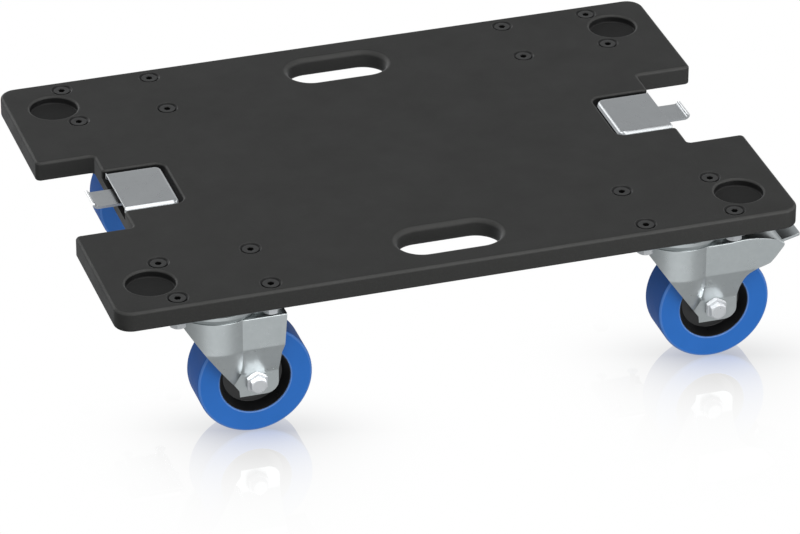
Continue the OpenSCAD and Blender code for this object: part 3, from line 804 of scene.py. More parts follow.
def keeper_plate(sx):
    """A thick plate whose three buried rims are rolled over and whose outer end is cut straight, with a recess under that end."""
    s = Shape()
    loop = path([(247, -32.5, 0.6, 1), (247, 32.5, 0.6, 1), (199, 32.5, 6.0), (199, -32.5, 6.0)], 6.0)
    a = max(i for i, p in enumerate(loop) if p[4] and p[1] < 0)
    hw = 30.4  # half width of the recess under the plate's outer end
    loop[a + 1:a + 1] = [(247.0, y, 1.0, 0.0, 3) for y in (-hw, -hw + 0.02, hw - 0.02, hw)]
    deep = [a + 2, a + 3]
    big, small = 3.6, 0.45
    rr = [small if p[0] > 246.2 else big for p in loop]
    K = 7
    made = []
    for k in range(K + 1):
        t = math.pi / 2 * k / K
        pts = []
        for (x, y, nx, ny, tag), r in zip(loop, rr):
            d, z = r * (1 - math.sin(t)), -0.3 - r * (1 - math.cos(t))
            if tag == 1:  # the two cut corners: keep the end face straight and let only the long sides roll
                rb = big
                dz = rb * (1 - math.sin(t))
                x, y = min(x, 247 - small * (1 - math.sin(t)) if p_end(x) else x), math.copysign(abs(y) - dz * abs(ny), y)
                z = -0.3 - (rb * (1 - math.cos(t)) if abs(ny) > 0.5 else small * (1 - math.cos(t)))
                pts.append((x, y, z))
            else:
                pts.append((x - nx * d, y - ny * d, z))
        made.append(s.add(pts))
    lower = [(238.0, *p[1:]) if i in deep else p for i, p in enumerate(loop)]
    zl = -1.9
    for row in (loop, lower):
        made.append(s.add([(x, y, zl if tag == 3 or (tag == 1 and abs(ny) <= 0.5) else -3.92) for x, y, nx, ny, tag in row]))
    made.append(ring(s, lower, 0.0, -5.6))
    made.append(ring(s, lower, 0.3, -5.9))
    for a, b in zip(made[:-1], made[1:]):
        s.strip(a, b)
    s.cap(made[0])
    s.cap(made[-1], up=False)
    # painted shade: the recess under the outer end takes the near-black material
    for i, f in enumerate(s.f):
        pts = [s.v[k] for k in f]
        if all(x > 237.0 and abs(y) < hw + 0.1 and -5.8 < z < zl + 0.05 for x, y, z in pts):
            s.m[i] = 1
    return s if sx > 0 else s.moved(lambda x, y, z: (-x, y, z)).flipped()


def p_end(x):
    return x > 246.5


def keeper_strip(sx):
    """The strip below the plate: a wide foot, a narrower tongue and a lip bent up at its end, all 2.2 mm sheet."""
    s = Shape()
    t, hw, ht = 2.2, 30.0, 13.3
    # centre line of the sheet's underside, seen from the side: (x, z), then the bend, then the lip
    prof = [(201.0, -8.1), (228.0, -8.1), (236.0, -8.1), (236.9, -8.1), (252.0, -8.1), (265.4, -8.1)]
    r = 5.3
    arc = r * math.pi / 2
    lefts = [arc * (1 - k / 12) for k in range(1, 11)] + [1.1, 0.9, 0.66, 0.42, 0.22, 0.08, 0.0]  # along the sheet to the lip's end
    for left in lefts:
        g = (arc - left) / r
        prof.append((265.4 + r * math.sin(g), -8.1 + r * (1 - math.cos(g))))
    # normals point to the inner face
    n = len(prof)
    under, upper = [], []
    for i, (x, z) in enumerate(prof):
        x0, z0 = prof[max(0, i - 1)]
        x1, z1 = prof[min(n - 1, i + 1)]
        d = Vector((x1 - x0, z1 - z0)).normalized()
        nx, nz = -d.y, d.x
        left = lefts[i - 6] if i >= 6 else arc
        soft = min(1.06, 1.1 - math.sqrt(1.1 ** 2 - (1.1 - left) ** 2)) if left < 1.1 else 0.0  # the lip's end is rounded over
        under.append((x + nx * soft, z + nz * soft))
        upper.append((x + nx * (t - soft), z + nz * (t - soft)))

    rows_u, rows_t = [], []
    for i in range(n):
        w = hw if i <= 2 else ht
        left = lefts[i - 6] if i >= 6 else arc
        if left < 2.6:
            w -= 2.6 - math.sqrt(2.6 ** 2 - (2.6 - left) ** 2)
        ys = [-w, -w + 0.01, 0.0, w - 0.01, w]
        rows_u.append(s.add([(under[i][0], y, under[i][1]) for y in ys]))
        rows_t.append(s.add([(upper[i][0], y, upper[i][1]) for y in ys]))
    for i in range(n - 1):
        for k in range(4):
            s.face((rows_u[i][k], rows_u[i][k + 1], rows_u[i + 1][k + 1], rows_u[i + 1][k]))
            s.face((rows_t[i][k], rows_t[i + 1][k], rows_t[i + 1][k + 1], rows_t[i][k + 1]))
        s.face((rows_u[i][0], rows_u[i + 1][0], rows_t[i + 1][0], rows_t[i][0]))
        s.face((rows_u[i][4], rows_t[i][4], rows_t[i + 1][4], rows_u[i + 1][4]))
    for k in range(4):
        s.face((rows_u[0][k], rows_t[0][k], rows_t[0][k + 1], rows_u[0][k + 1]))
        s.face((rows_u[-1][k], rows_u[-1][k + 1], rows_t[-1][k + 1], rows_t[-1][k]))
    lip_wear_and_highlight = rows_u[-7][0]  # the lip's rounded end is brighter: partly rubbed wear, partly a painted highlight
    for i, f in enumerate(s.f):
        if min(f) >= lip_wear_and_highlight:
            s.m[i] = 1
    return s if sx > 0 else s.moved(lambda x, y, z: (-x, y, z)).flipped()


for side, sx in (("left", -1), ("right", 1)):
    make("keeper_plate_" + side + "_finished", keeper_plate(sx), "board", [KEEPER, SHADE_BLACK], "keeper_plate_" + side, sharp=30.0)
    make("keeper_strip_" + side, keeper_strip(sx), "board", [KEEPER, WORN_AND_HIGHLIT], "keeper_latch_" + side, sharp=30.0, bevel=0.6, bevel_angle=50.0)


# ------------------------------------------------------------------ castor: top plate
def top_plate():
    s = Shape()
    loop = path([(52.5, -40, 8), (52.5, 40, 8), (-52.5, 40, 8), (-52.5, -40, 8)])
    lv = round_over(0.5, 0.0, 3) + round_over(0.8, -3.0, 3, False)
    a, b = rings(s, loop, lv)
    ta, tb = [], []
    for x in (-40, 40):
        for y in (-30, 30):
            p, q = rings(s, hole(x, y, 4.25, 28), [(0.3, 0.0), (0.0, -0.3), (0.0, -2.7), (0.3, -3.0)])
            ta.append(p)
            tb.append(q)
    p, q = rings(s, hole(0, 0, 6.04, 48), [(3.04, 0.0), (0.0, -3.0)])
    ta.append(p)
    tb.append(q)
    s.cap(a, ta)
    s.cap(b, tb, up=False)
    return s


# ------------------------------------------------------------------ castor: fork
LEG_Y, PAD_Y, CROWN_R, SHEET = 34.2, 20.0, 37.0, 2.5
ROOF, FOLD, PAD, FOOT = -29.5, -59.5, -91.0, -112.7
LEAN = (LEG_Y - PAD_Y) / (FOLD - PAD)
TAPER = 0.36
AXLE = (29.25, -99.0)
ARM_TOP = [(28, -29.5), (36.5, -29.42), (41, -28.8), (48, -28.35), (54, -28.4), (60, -28.9), (66, -29.8), (72, -31.1), (77, -32.8), (81.5, -35.1), (85.5, -38)]


def smin(a, b, k):
    h = max(k - abs(a - b), 0.0) / k
    return min(a, b) - h * h * k / 4


def smax(a, b, k):
    return -smin(-a, -b, k)


def leg_y(z, inner=False):
    off = SHEET if inner else 0.0
    lean = LEG_Y - LEAN * (FOLD - z) - (off * math.sqrt(1 + LEAN * LEAN))
    return smax(PAD_Y - off, smin(LEG_Y - off, lean, 0.5), 0.5)


def crown_r(z, inner=False):
    off = SHEET if inner else 0.0
    return smin(CROWN_R - off, CROWN_R - TAPER * (FOLD - z) - off * math.sqrt(1 + TAPER * TAPER), 0.5)


def crease_x(z, inner=False):
    r, y = crown_r(z, inner), leg_y(z, inner)
    return math.sqrt(max(r * r - y * y, 0.0))


def diag_x(z):
    return -32 + (-38.3 - z) / 1.467


def leg_point(p, z, inner=False):
    """The (x, y) of a leg's point. p runs along the sheet: it is x on the flat, and an arc length from the crease on the crown."""
    xt = crease_x(z, False)
    if p >= xt:
        x = p
        if inner:
            xi = crease_x(z, True)
            x = p if p > xt + 6 else xi + (p - xt) * (xt + 6 - xi) / 6
        return x, leg_y(z, inner)
    r0 = crown_r(z, False)
    at0 = math.asin(min(1.0, xt / r0))
    whole = r0 * (at0 + math.pi / 2)
    share = (xt - p) / whole
    r = crown_r(z, inner)
    at = math.asin(min(1.0, crease_x(z, inner) / r))
    a = at - share * (at + math.pi / 2)
    return r * math.sin(a), max(r * math.cos(a), 0.0) if share < 0.99999 else 0.0


def p_of(x, z):
    """The sheet coordinate of the outer point at x, z."""
    xt = crease_x(z)
    if x >= xt:
        return x
    r = crown_r(z)
    return xt - r * (math.asin(min(1.0, xt / r)) - math.asin(max(-1.0, x / r)))


def between(pts, step):
    out = []
    for (x0, z0), (x1, z1) in zip(pts[:-1], pts[1:]):
        k = max(1, math.ceil(math.hypot(x1 - x0, z1 - z0) / step))
        out += [(x0 + (x1 - x0) * i / k, z0 + (z1 - z0) * i / k) for i in range(k)]
    return out + [pts[-1]]


def front_cut():
    """The slanting front edge of a leg as (p, z), from the foot up to the crown's middle."""
    line = lambda x: -38.3 + (-32 - x) * 1.467
    out = []
    z = -106.5
    while z < FOLD - 0.7:
        out.append((p_of(diag_x(z), z), z))
        z += 1.15
    a0 = math.asin(-17.55 / CROWN_R)
    for k in range(0, 37):
        a = a0 + (-math.pi / 2 - a0) * k / 36
        z = smin(line(CROWN_R * math.sin(a)), -31.6, 1.6)
        out.append((crease_x(z) - CROWN_R * (math.asin(crease_x(z) / CROWN_R) - a), z))
    return out


def fork(braked):
    s = Shape()
    bend = lambda p: 0.6 + 0.8 * ease(min(1.0, max(0.0, (p - 13.0) / 3.5)))  # outer radius of the bend between roof and legs
    zt = ROOF - bend(99)
    zc = ROOF - bend(0)
    hump = lambda x: 0.0 if not braked or x <= 28 else interp(ARM_TOP, x) - ROOF
    # outline of one leg in (x, z), from the top rear round the bottom to the front and up to the crown's middle
    if braked:
        rear = [(85.5, -38.0 - bend(99)), (84.9, -40.9), (77.7, -50.5), (73.4, -55.2), (69, -57), (61.6, -59), (57.5, -61.9), (55, -64), (53, -66.7), (51.4, -70.4), (50.2, -75.2), (49.3, -81), (49, -88), (49, -103)]
    else:
        rear = [(52.8, zt), (50.8, FOLD), (49.2, -68.5), (49, -91.9), (49, -103)]
    foot = [(49, -103), (48.4, -105.9), (47, -108.2), (45.2, -110.2), (43.0, -111.6), (40.6, -112.4), (38, FOOT), (15.1, FOOT), (14.5, -106.5)]
    out_xz = between(rear, 2.4)[:-1] + between(foot, 2.2)[:-1]
    outline = [(p_of(x, z), z) for x, z in out_xz] + front_cut()
    mid_p = lambda z: crease_x(z) - crown_r(z) * (math.asin(crease_x(z) / crown_r(z)) + math.pi / 2)
    outline.append((mid_p(zc), zc))
    n_out = len(outline)
    # along the top edge to the rear, stepping by arc
    p0, top = mid_p(zt), []
    xt = crease_x(zt)
    nf = 36
    top += [(p0 + (xt - p0) * k / nf, ROOF - bend(p0 + (xt - p0) * k / nf)) for k in range(1, nf + 1)]
    if braked:
        xs = [xt + (28 - xt) * k / 5 for k in range(1, 6)] + [x for x, z in between(ARM_TOP, 2.6)[1:-1]]
        top += [(x, ROOF - bend(x) + hump(x)) for x in xs]
    else:
        top += [(x, ROOF - bend(x)) for x in [xt + (52.8 - xt) * k / 14 for k in range(1, 14)]]
    loop = outline + top
    # inside points in rows, close together along the folds
    zs = [zt - 2.5 * k for k in range(1, 11)] + [FOLD + 1.6, FOLD + 0.8, FOLD, FOLD - 0.8, FOLD - 1.6]
    zs += [FOLD - 1.6 - 2.57 * k for k in range(1, 12)] + [PAD + 1.6, PAD + 0.8, PAD, PAD - 0.8, PAD - 1.6, -95.0, -98.0, -101.0, -104.0, -107.5, -110.5]
    poly = [Vector(q) for q in loop]
    inner_pts, crease_ids = [], []
    hole_pts = [(AXLE[0] + 4.1 * math.cos(2 * math.pi * k / 24), AXLE[1] + 4.1 * math.sin(2 * math.pi * k / 24)) for k in range(24)]

    def far(px, pz, d):
        return all((px - q[0]) ** 2 + (pz - q[1]) ** 2 > d * d for q in loop)

    for z in zs:
        xt = crease_x(z)
        p0 = mid_p(z)
        row = [p0 + (xt - p0) * k / nf for k in range(nf)] + [xt] + [xt + 3.4 * k for k in range(1, 24)]
        for k, p in enumerate(row):
            if not inside(p, z, poly) or math.hypot(p - AXLE[0], z - AXLE[1]) < 5.2:
                continue
            is_crease = k == nf and z > -100.0
            if far(p, z, 0.9 if not is_crease else 0.35):
                inner_pts.append((p, z))
                if is_crease:
                    crease_ids.append(len(loop) + len(inner_pts) - 1)
    pts = [Vector(q) for q in loop] + [Vector(q) for q in inner_pts] + [Vector(q) for q in hole_pts]
    hb = len(loop) + len(inner_pts)
    edges = [(k, (k + 1) % len(loop)) for k in range(len(loop))] + [(hb + k, hb + (k + 1) % 24) for k in range(24)]
    edges += list(zip(crease_ids[:-1], crease_ids[1:]))
    tris = cdt(pts, edges, [poly], [[Vector(q) for q in hole_pts]])
    top_ids = [n_out - 1] + list(range(n_out, len(loop))) + [0]
    top_set = set(top_ids)
    roof_in = ROOF - SHEET

    def z_in(i, p, z):
        """The inner sheet reaches up to the roof's underside where the outer one ends below the bend."""
        lim = roof_in + (hump(p) if p > 28 else 0.0)
        return lim if i in top_set else min(z, lim - 0.3)

    sides = []
    for sy in (1, -1):
        outer, innr = [], []
        for i, q in enumerate(pts):
            x, y = leg_point(q.x, q.y)
            outer.append((x, sy * y, q.y))
            x, y = leg_point(q.x, q.y, True)
            innr.append((x, sy * y, z_in(i, q.x, q.y)))
        sides.append((sy, s.add(outer), s.add(innr)))
    roof_rows = []
    for sy, o, i_ in sides:
        turn = (lambda q: q) if sy < 0 else (lambda q: q[::-1])
        for t in tris:
            s.face(turn([o[k] for k in t]))
            s.face(turn([i_[k] for k in t][::-1]))
        for k in range(n_out - 1):
            s.face(turn((o[k], o[k + 1], i_[k + 1], i_[k])))
        for k in range(24):
            a, b = hb + k, hb + (k + 1) % 24
            s.face(turn((o[a], o[b], i_[b], i_[a])))
        # the bend up to the roof
        base = []
        for k in top_ids:
            p, z = loop[k]
            x, y = leg_point(p, z)
            base.append((x, y, z, (x / CROWN_R, y / CROWN_R) if p < crease_x(z) - 1e-6 else (0.0, 1.0), bend(p)))
        prev = [o[k] for k in top_ids]
        column = [prev[-1]]
        for j in range(1, 6):
            g = math.pi / 2 * j / 5
            c1, s1 = 1 - math.cos(g), math.sin(g)
            row = s.add([(x - nx * c1 * r, sy * max(y - ny * c1 * r, 0.0), z + r * s1) for x, y, z, (nx, ny), r in base])
            for a in range(len(row) - 1):
                s.face(turn((prev[a], prev[a + 1], row[a + 1], row[a])))
            prev = row
            column.append(row[-1])
        for a, b in zip(column[:-1], column[1:]):
            s.face(turn((i_[0], a, b)[::-1]))
        roof_rows.append((prev, [i_[k] for k in top_ids]))
    (up_p, in_p), (up_n, in_n) = roof_rows
    # roof: the flat part with its round hole, then strips across the arm's hump
    kp = [(6.08 * math.cos(2 * math.pi * k / 40), 6.08 * math.sin(2 * math.pi * k / 40)) for k in range(40)]
    flat_end = next(i for i, k in enumerate(up_p) if s.v[k][0] >= 27.99) if braked else len(up_p) - 1
    made = []
    for level, (lp, ln), facing_up in ((ROOF, (up_p, up_n), True), (roof_in, (in_p, in_n), False)):
        hole_ids = s.add([(x, y, level) for x, y in kp])
        last = None
        for i in range(flat_end, len(lp)):
            a, b = s.v[lp[i]], s.v[ln[i]]
            row = [lp[i]] + s.add([(a[0] + (b[0] - a[0]) * k / 10, a[1] + (b[1] - a[1]) * k / 10, a[2]) for k in range(1, 10)]) + [ln[i]]
            if last is None:
                s.cap(lp[:flat_end] + row + ln[1:flat_end][::-1], [hole_ids], up=facing_up)
            else:
                for k in range(10):
                    q = (last[k], last[k + 1], row[k + 1], row[k])
                    s.face(q if facing_up else q[::-1])
            last = row
        made.append((hole_ids, last))
    (kt, et), (kl, el) = made
    for k in range(40):
        j = (k + 1) % 40
        s.face((kt[j], kl[j], kl[k], kt[k]))
    for k in range(10):
        s.face((et[k], et[k + 1], el[k + 1], el[k]))
    return s


def interp(pts, x):
    for (x0, z0), (x1, z1) in zip(pts[:-1], pts[1:]):
        if x <= x1:
            return z0 + (z1 - z0) * (x - x0) / (x1 - x0)
    return pts[-1][1]


def upper_race():
    pts = [(40.2, -21.02), (40.2, -24.2), (36.5, -29.4), (34.9, -29.4), (38.3, -24.6), (37.6, -23.3), (30, -23.3), (30, -24), (26.8, -24), (26, -23.8), (25.2, -24), (22, -24), (22, -21.02)]
    return lathe(section_round(pts, [0.3, 1.2, 0.5, 0.4, 0.8, 0.6, 0.2, 0.3, 0, 0, 0, 0.3, 0.3], 20), 128, closed=True)


races = Shape()
for cx, cy in CASTORS.values():
    races.joined(upper_race(), (cx, cy, 0))
make("upper_race_set", races, "board", [ZINC], "upper_races", sharp=40.0)
for c, (cx, cy) in CASTORS.items():
    make("top_plate_%s_finished" % c, top_plate(), "board", [ZINC], "top_plate_" + c, at=(cx, cy, T))
    make("fork_%s_finished" % c, fork(c in BRAKED), "swivel_" + c, [ZINC], "fork_" + c, sharp=17.0, at=(cx, cy, 0), weighted=False)


# ------------------------------------------------------------------ castor: wheel, axle and brake
def along_y(shape):
    """Turns a part built about Z so that its axis runs to +Y."""
    return shape.moved(lambda x, y, z: (x, z, -y))


def against_y(shape):
    """Turns a part built about Z so that its axis runs to -Y."""
    return shape.moved(lambda x, y, z: (x, -z, y))


def tyre():
    pro = section_round([(50, 18), (50, -18), (31.02, -18), (31.02, 18)], [2.5, 2.5, 1.2, 1.2], 12)
    out = []
    for (r0, z0), (r1, z1) in zip(pro, pro[1:] + pro[:1]):
        n = max(1, round(math.hypot(r1 - r0, z1 - z0) / 6))
        out += [(r0 + (r1 - r0) * k / n, z0 + (z1 - z0) * k / n) for k in range(n)]
    s = lathe(out, 160, closed=True)
    for i, f in enumerate(s.f):
        if min(math.hypot(s.v[k][0], s.v[k][1]) for k in f) > 49.8:
            s.m[i] = 1
    return along_y(s)


def hub():
    pts = [(30.98, 17.2), (30.98, -17.2), (30.5, -17.2), (26, -8), (15.2, -8), (14.5, -17.2), (11.05, -17.2), (11.05, -10.2), (8, -10.2),
           (8, 10.2), (11.05, 10.2), (11.05, 17.2), (14.5, 17.2), (15.2, 8), (26, 8), (30.5, 17.2)]
    rad = [0.15, 0.15, 0.15, 0.5, 1.0, 0.6, 0.3, 0.2, 0.2, 0.2, 0.2, 0.3, 0.6, 1.0, 0.5, 0.15]
    return along_y(lathe(section_round(pts, rad, 22.5), 128, closed=True))


def axle_bolt():
    """Head, hexagonal collar and plain shank with a threaded end, in the wheel's frame (axis along Y, wheel's middle at the origin)."""
    s = hex_head(17, 5.0, chamfer_top=False, chamfer_bottom=True, turn=0.0, base_r=7.9)
    s.v = [(x, y, z + 20.0) for x, y, z in s.v]
    head = hex_head(13, 5.0, chamfer_top=True, turn=0.0)
    s.joined(head, (0, 0, 24.98))
    s = against_y(s)
    shank = lathe([(0, 20.5), (3.96, 20.5), (3.96, -18.0)], 40)
    t, last = thread(3.96, -29.4, -18.0, n=40)
    base = len(shank.v)
    shank.joined(t)
    return s.joined(against_y(shank))


def axle_nut():
    s = lathe(section_round([(8.0, 1.6), (8.0, 0.0), (4.02, 0.0), (4.02, 1.6)], [0.5, 0.3, 0, 0]), 48, closed=True)
    s.joined(hex_head(13, 7.0, True, False, bore=4.02, turn=0.0), (0, 0, 1.6))
    s.v = [(x, y, z + 20.0) for x, y, z in s.v]
    return along_y(s)


def pedal():
    """Barrel round the pin, foot plate and shoe hanger, in the castor's frame."""
    s = Shape()
    barrel = along_y(lathe(section_round([(6.0, 24), (6.0, -24), (3.06, -24), (3.06, 24)], [0.5, 0.5, 0.3, 0.3]), 48, closed=True))
    s.joined(barrel, (74, 0, -46.5))
    rise = 6.8 / 27.3
    loop = path([(76.5, -22, 1.0), (104.3, -22, 1.5), (104.3, 22, 1.5), (76.5, 22, 1.0)], 15)
    plate = Shape()
    lv = round_over(0.5, 0.0, 3) + round_over(0.5, -2.75, 3, False)
    a, b = rings(plate, loop, lv)
    plate.cap(a)
    plate.cap(b, up=False)
    plate.moved(lambda x, y, z: (x, y, z - 44.4 + rise * (x - 77)))
    s.joined(plate)
    hang = Shape()
    out = path([(77.5, -67.5, 1.0), (79.6, -58, 1.5), (79, -49.2, 1.0), (74, -47.0, 2.0), (69.5, -49.2, 1.0), (69, -60, 1.5)], 20)
    a, b = rings(hang, out, [(0.4, 9.0), (0.12, 8.88), (0.0, 8.6), (0.0, -8.6), (0.12, -8.88), (0.4, -9.0)])
    hang.cap(a)
    hang.cap(b, up=False)
    s.joined(hang.moved(lambda x, y, z: (x, -z, y)))
    return s


def shoe():
    """Curved friction block with five grooves across its face, in the castor's frame."""
    s = Shape()
    prof = []
    a0, a1 = math.radians(34), math.radians(44)
    n = 30
    for k in range(n + 1):
        a = a0 + (a1 - a0) * k / n
        g = 0.45 if (k % 6) in (3, 4) else 0.0
        prof.append((29.25 + (53.8 + g) * math.cos(a), -99 + (53.8 + g) * math.sin(a)))
    back = [(29.25 + 57.9 * math.cos(a), -99 + 57.9 * math.sin(a)) for a in [a1 - (a1 - a0) * k / 8 for k in range(9)]]
    pts = back + prof  # counter-clockwise in (x, z)
    area2 = sum(pts[i - 1][0] * pts[i][1] - pts[i][0] * pts[i - 1][1] for i in range(len(pts)))
    if area2 < 0:
        pts = pts[::-1]
    front = s.add([(x, -14, z) for x, z in pts])
    rear = s.add([(x, 14, z) for x, z in pts])
    s.strip(front, rear)
    s.cap(front, up=True, flat=(0, 2))
    s.cap(rear, up=False, flat=(0, 2))
    return s


bolt_sets = {end: bpy.data.collections.new("axle_bolts_" + end) for end in "lr"}
for c, (cx, cy) in CASTORS.items():
    ax = (cx + 29.25, cy, -99)
    make("tyre_%s_finished" % c, tyre(), "wheel_" + c, [TYRE, TREAD_SHADED], "tyre_" + c, sharp=50.0, at=ax)
    make("wheel_hub_%s_finished" % c, hub(), "wheel_" + c, [HUB], "wheel_hub_" + c, sharp=38.0, at=ax)
    bolt_sets[c[0]].objects.link(make("axle_bolt_%s_finished" % c, axle_bolt(), "swivel_" + c, [BOLT], "axle_bolt_" + c, sharp=28.0, at=ax))
    make("axle_nut_%s_finished" % c, axle_nut(), "swivel_" + c, [BOLT], "axle_nut_" + c, sharp=28.0, at=ax)
    if c in BRAKED:
        make("brake_pedal_%s_finished" % c, pedal(), "brake_" + c, [ZINC], "brake_pedal_" + c, sharp=30.0, at=(cx, cy, 0))
        make("brake_shoe_%s_finished" % c, shoe(), "brake_" + c, [SHOE], "brake_shoe_" + c, sharp=25.0, at=(cx, cy, 0), bevel=0.3)


# ------------------------------------------------------------------ the other CAD nodes take their finish here
SLOT_MAT = {"zinc_bolt": BOLT, "zinc_sheet": ZINC, "ball_steel": BALL, "hub_nylon": HUB, "tyre_rubber": TYRE, "shoe_rubber": SHOE,
            "keeper_steel": KEEPER, "black_oxide": BLACK, "board_paint": PAINT}
SLOT_OF = {p["node"]: p["material_slot"] for p in frame["record"]["subparts"]}
for name, ob in frame["nodes"].items():
    ob.data.materials.clear()
    ob.data.materials.append(SLOT_MAT[SLOT_OF[name]])

# ------------------------------------------------------------------ floor, light, camera
FLOOR_Z = -149.0


def underside_stand_ins():
    """The floor mirrors only the castors: the board is left out of mirror rays, and dark cards above each castor take its place
    in what the fork roofs mirror."""
    board_ob.visible_glossy = False
    mat = bpy.data.materials.new("dark_card")
    mat.use_nodes = True
    bsdf = mat.node_tree.nodes["Principled BSDF"]
    bsdf.inputs["Base Color"].default_value = (0.02, 0.02, 0.02, 1)
    bsdf.inputs["Roughness"].default_value = 0.8
    for c, (cx, cy) in CASTORS.items():
        me = bpy.data.meshes.new("dark_card_" + c)
        x0, x1 = (cx - 90, cx + 100.5) if cx > 0 else (cx - 94, cx + 90)
        y0, y1 = cy - 44, cy + 44
        z0, z1 = T + 0.6, T + 0.9
        v = [(x0, y0, z0), (x1, y0, z0), (x1, y1, z0), (x0, y1, z0), (x0, y0, z1), (x1, y0, z1), (x1, y1, z1), (x0, y1, z1)]
        me.from_pydata([(x * MM, y * MM, z * MM) for x, y, z in v], [], [(3, 2, 1, 0), (4, 5, 6, 7), (0, 1, 5, 4), (1, 2, 6, 5), (2, 3, 7, 6), (3, 0, 4, 7)])
        me.materials.append(mat)
        ob = bpy.data.objects.new("dark_card_" + c, me)
        scene.collection.objects.link(ob)
        ob.visible_camera = ob.visible_diffuse = ob.visible_shadow = ob.visible_transmission = False


underside_stand_ins()


def floor():
    """A white floor that the camera sees, with a soft mirror image under each wheel."""
    me = bpy.data.meshes.new("studio_floor")
    w = 9.0
    me.from_pydata([(-w, -w, FLOOR_Z * MM), (w, -w, FLOOR_Z * MM), (w, w, FLOOR_Z * MM), (-w, w, FLOOR_Z * MM)], [], [(0, 1, 2, 3)])
    ob = bpy.data.objects.new("studio_floor", me)
    scene.collection.objects.link(ob)
    mat = bpy.data.materials.new("studio_floor")
    mat.use_nodes = True
    t = mat.node_tree
    t.nodes.clear()
    new = t.nodes.new
    out = new("ShaderNodeOutputMaterial")
    em = new("ShaderNodeEmission")
    em.inputs["Color"].default_value = (1, 1, 1, 1)
    em.inputs["Strength"].default_value = 1.0
    gl = new("ShaderNodeBsdfGlossy")
    gl.inputs["Roughness"].default_value = 0.03
    gl.inputs["Color"].default_value = (1, 1, 1, 1)
    geo = new("ShaderNodeNewGeometry")

    def calc(op, a, b=None):
        n = new("ShaderNodeMath")
        n.operation = op
        for i, x in enumerate((a, b)):
            if isinstance(x, (int, float)):
                n.inputs[i].default_value = x
            elif x is not None:
                t.links.new(x, n.inputs[i])
        return n.outputs[0]

    best = None
    for c in ("lf", "rf"):
        cx, cy = CASTORS[c]
        off = new("ShaderNodeVectorMath")
        off.operation = "SUBTRACT"
        off.inputs[1].default_value = ((cx + 29) * MM, (cy - 18) * MM, FLOOR_Z * MM)
        t.links.new(geo.outputs["Position"], off.inputs[0])
        parts = []
        for way in ((-0.304, -0.953, 0.0), (0.953, -0.304, 0.0)):
            d = new("ShaderNodeVectorMath")
            d.operation = "DOT_PRODUCT"
            d.inputs[1].default_value = way
            t.links.new(off.outputs[0], d.inputs[0])
            parts.append(d.outputs["Value"])
        fade = calc("EXPONENT", calc("MULTIPLY", calc("MAXIMUM", parts[0], 0.0), -1 / 0.043))
        back = calc("EXPONENT", calc("MULTIPLY", calc("POWER", calc("MINIMUM", parts[0], 0.0), 2.0), -1 / 0.035 ** 2))
        fade = calc("MULTIPLY", fade, back)
        side = calc("EXPONENT", calc("MULTIPLY", calc("POWER", calc("ABSOLUTE", parts[1]), 2.0), -1 / 0.075 ** 2))
        f = calc("MULTIPLY", calc("MULTIPLY", fade, side), 0.54)
        best = f if best is None else calc("MAXIMUM", best, f)
    mix = new("ShaderNodeMixShader")
    t.links.new(best, mix.inputs[0])
    t.links.new(em.outputs[0], mix.inputs[1])
    t.links.new(gl.outputs[0], mix.inputs[2])
    t.links.new(mix.outputs[0], out.inputs[0])
    me.materials.append(mat)
    # only the camera sees it: light from below reaches the castors as in an open studio
    ob.visible_diffuse = ob.visible_glossy = ob.visible_shadow = False
    return ob


floor()

world = bpy.data.worlds.new("studio")
scene.world = world
world.use_nodes = True
wt = world.node_tree
wt.nodes.clear()


def wnode(kind, **props):
    n = wt.nodes.new(kind)
    for k, v in props.items():
        setattr(n, k, v)
    return n


def wmath(op, a, b):
    n = wnode("ShaderNodeMath", operation=op)
    for i, x in enumerate((a, b)):
        if isinstance(x, (int, float)):
            n.inputs[i].default_value = x
        else:
            wt.links.new(x, n.inputs[i])
    return n.outputs[0]


def wrange(x, a, b, c=0.0, d=1.0):
    n = wnode("ShaderNodeMapRange")
    n.interpolation_type = "SMOOTHSTEP"
    for i, v in zip((1, 2, 3, 4), (a, b, c, d)):
        n.inputs[i].default_value = v
    wt.links.new(x, n.inputs[0])
    return n.outputs[0]


def wramp(x, stops):
    n = wnode("ShaderNodeValToRGB")
    r = n.color_ramp
    stops = sorted(stops)
    for i, (pos, v) in enumerate(stops):
        e = r.elements[i] if i < 2 else r.elements.new(pos)
        e.position = pos
        e.color = (v * 0.985, v, v * 1.012, 1)
    wt.links.new(x, n.inputs[0])
    return n.outputs[0]


def wmix(f, a, b):
    n = wnode("ShaderNodeMix", data_type="RGBA")
    wt.links.new(f, n.inputs[0])
    wt.links.new(a, n.inputs[6])
    wt.links.new(b, n.inputs[7])
    return n.outputs[2]


sep = wnode("ShaderNodeSeparateXYZ")
wt.links.new(wnode("ShaderNodeTexCoord").outputs["Generated"], sep.inputs[0])
wx, wy, wz = sep.outputs
azimuth = wmath("ADD", wmath("DIVIDE", wmath("ARCTAN2", wx, wmath("MULTIPLY", wy, -1.0)), 2 * math.pi), 0.5)
at = lambda deg: deg / 360.0 + 0.5
BELOW = [(-180, 0.85), (-155, 0.7), (-125, 0.34), (-75, 0.44), (-54, 0.55), (-34, 0.92), (-14, 0.98), (6, 0.90), (19, 0.82), (30, 0.57), (60, 0.53), (100, 0.24), (130, 0.34), (155, 0.7), (180, 0.85)]
UNDER = [(-180, 0.6), (-120, 0.47), (70, 0.47), (105, 0.75), (150, 0.75), (180, 0.6)]
below = wramp(azimuth, [(at(a), v) for a, v in BELOW])
under = wramp(azimuth, [(at(a), v) for a, v in UNDER])
above = wramp(wz, [(0.0, 0.85), (0.1, 0.9), (0.3, 0.62), (0.5, 0.56), (1.0, 0.5)])
lower = wmix(wrange(wz, -0.93, -0.62), under, below)
full = wmix(wrange(wz, -0.12, 0.04), lower, above)
bg_env = wnode("ShaderNodeBackground")
wt.links.new(full, bg_env.inputs[0])
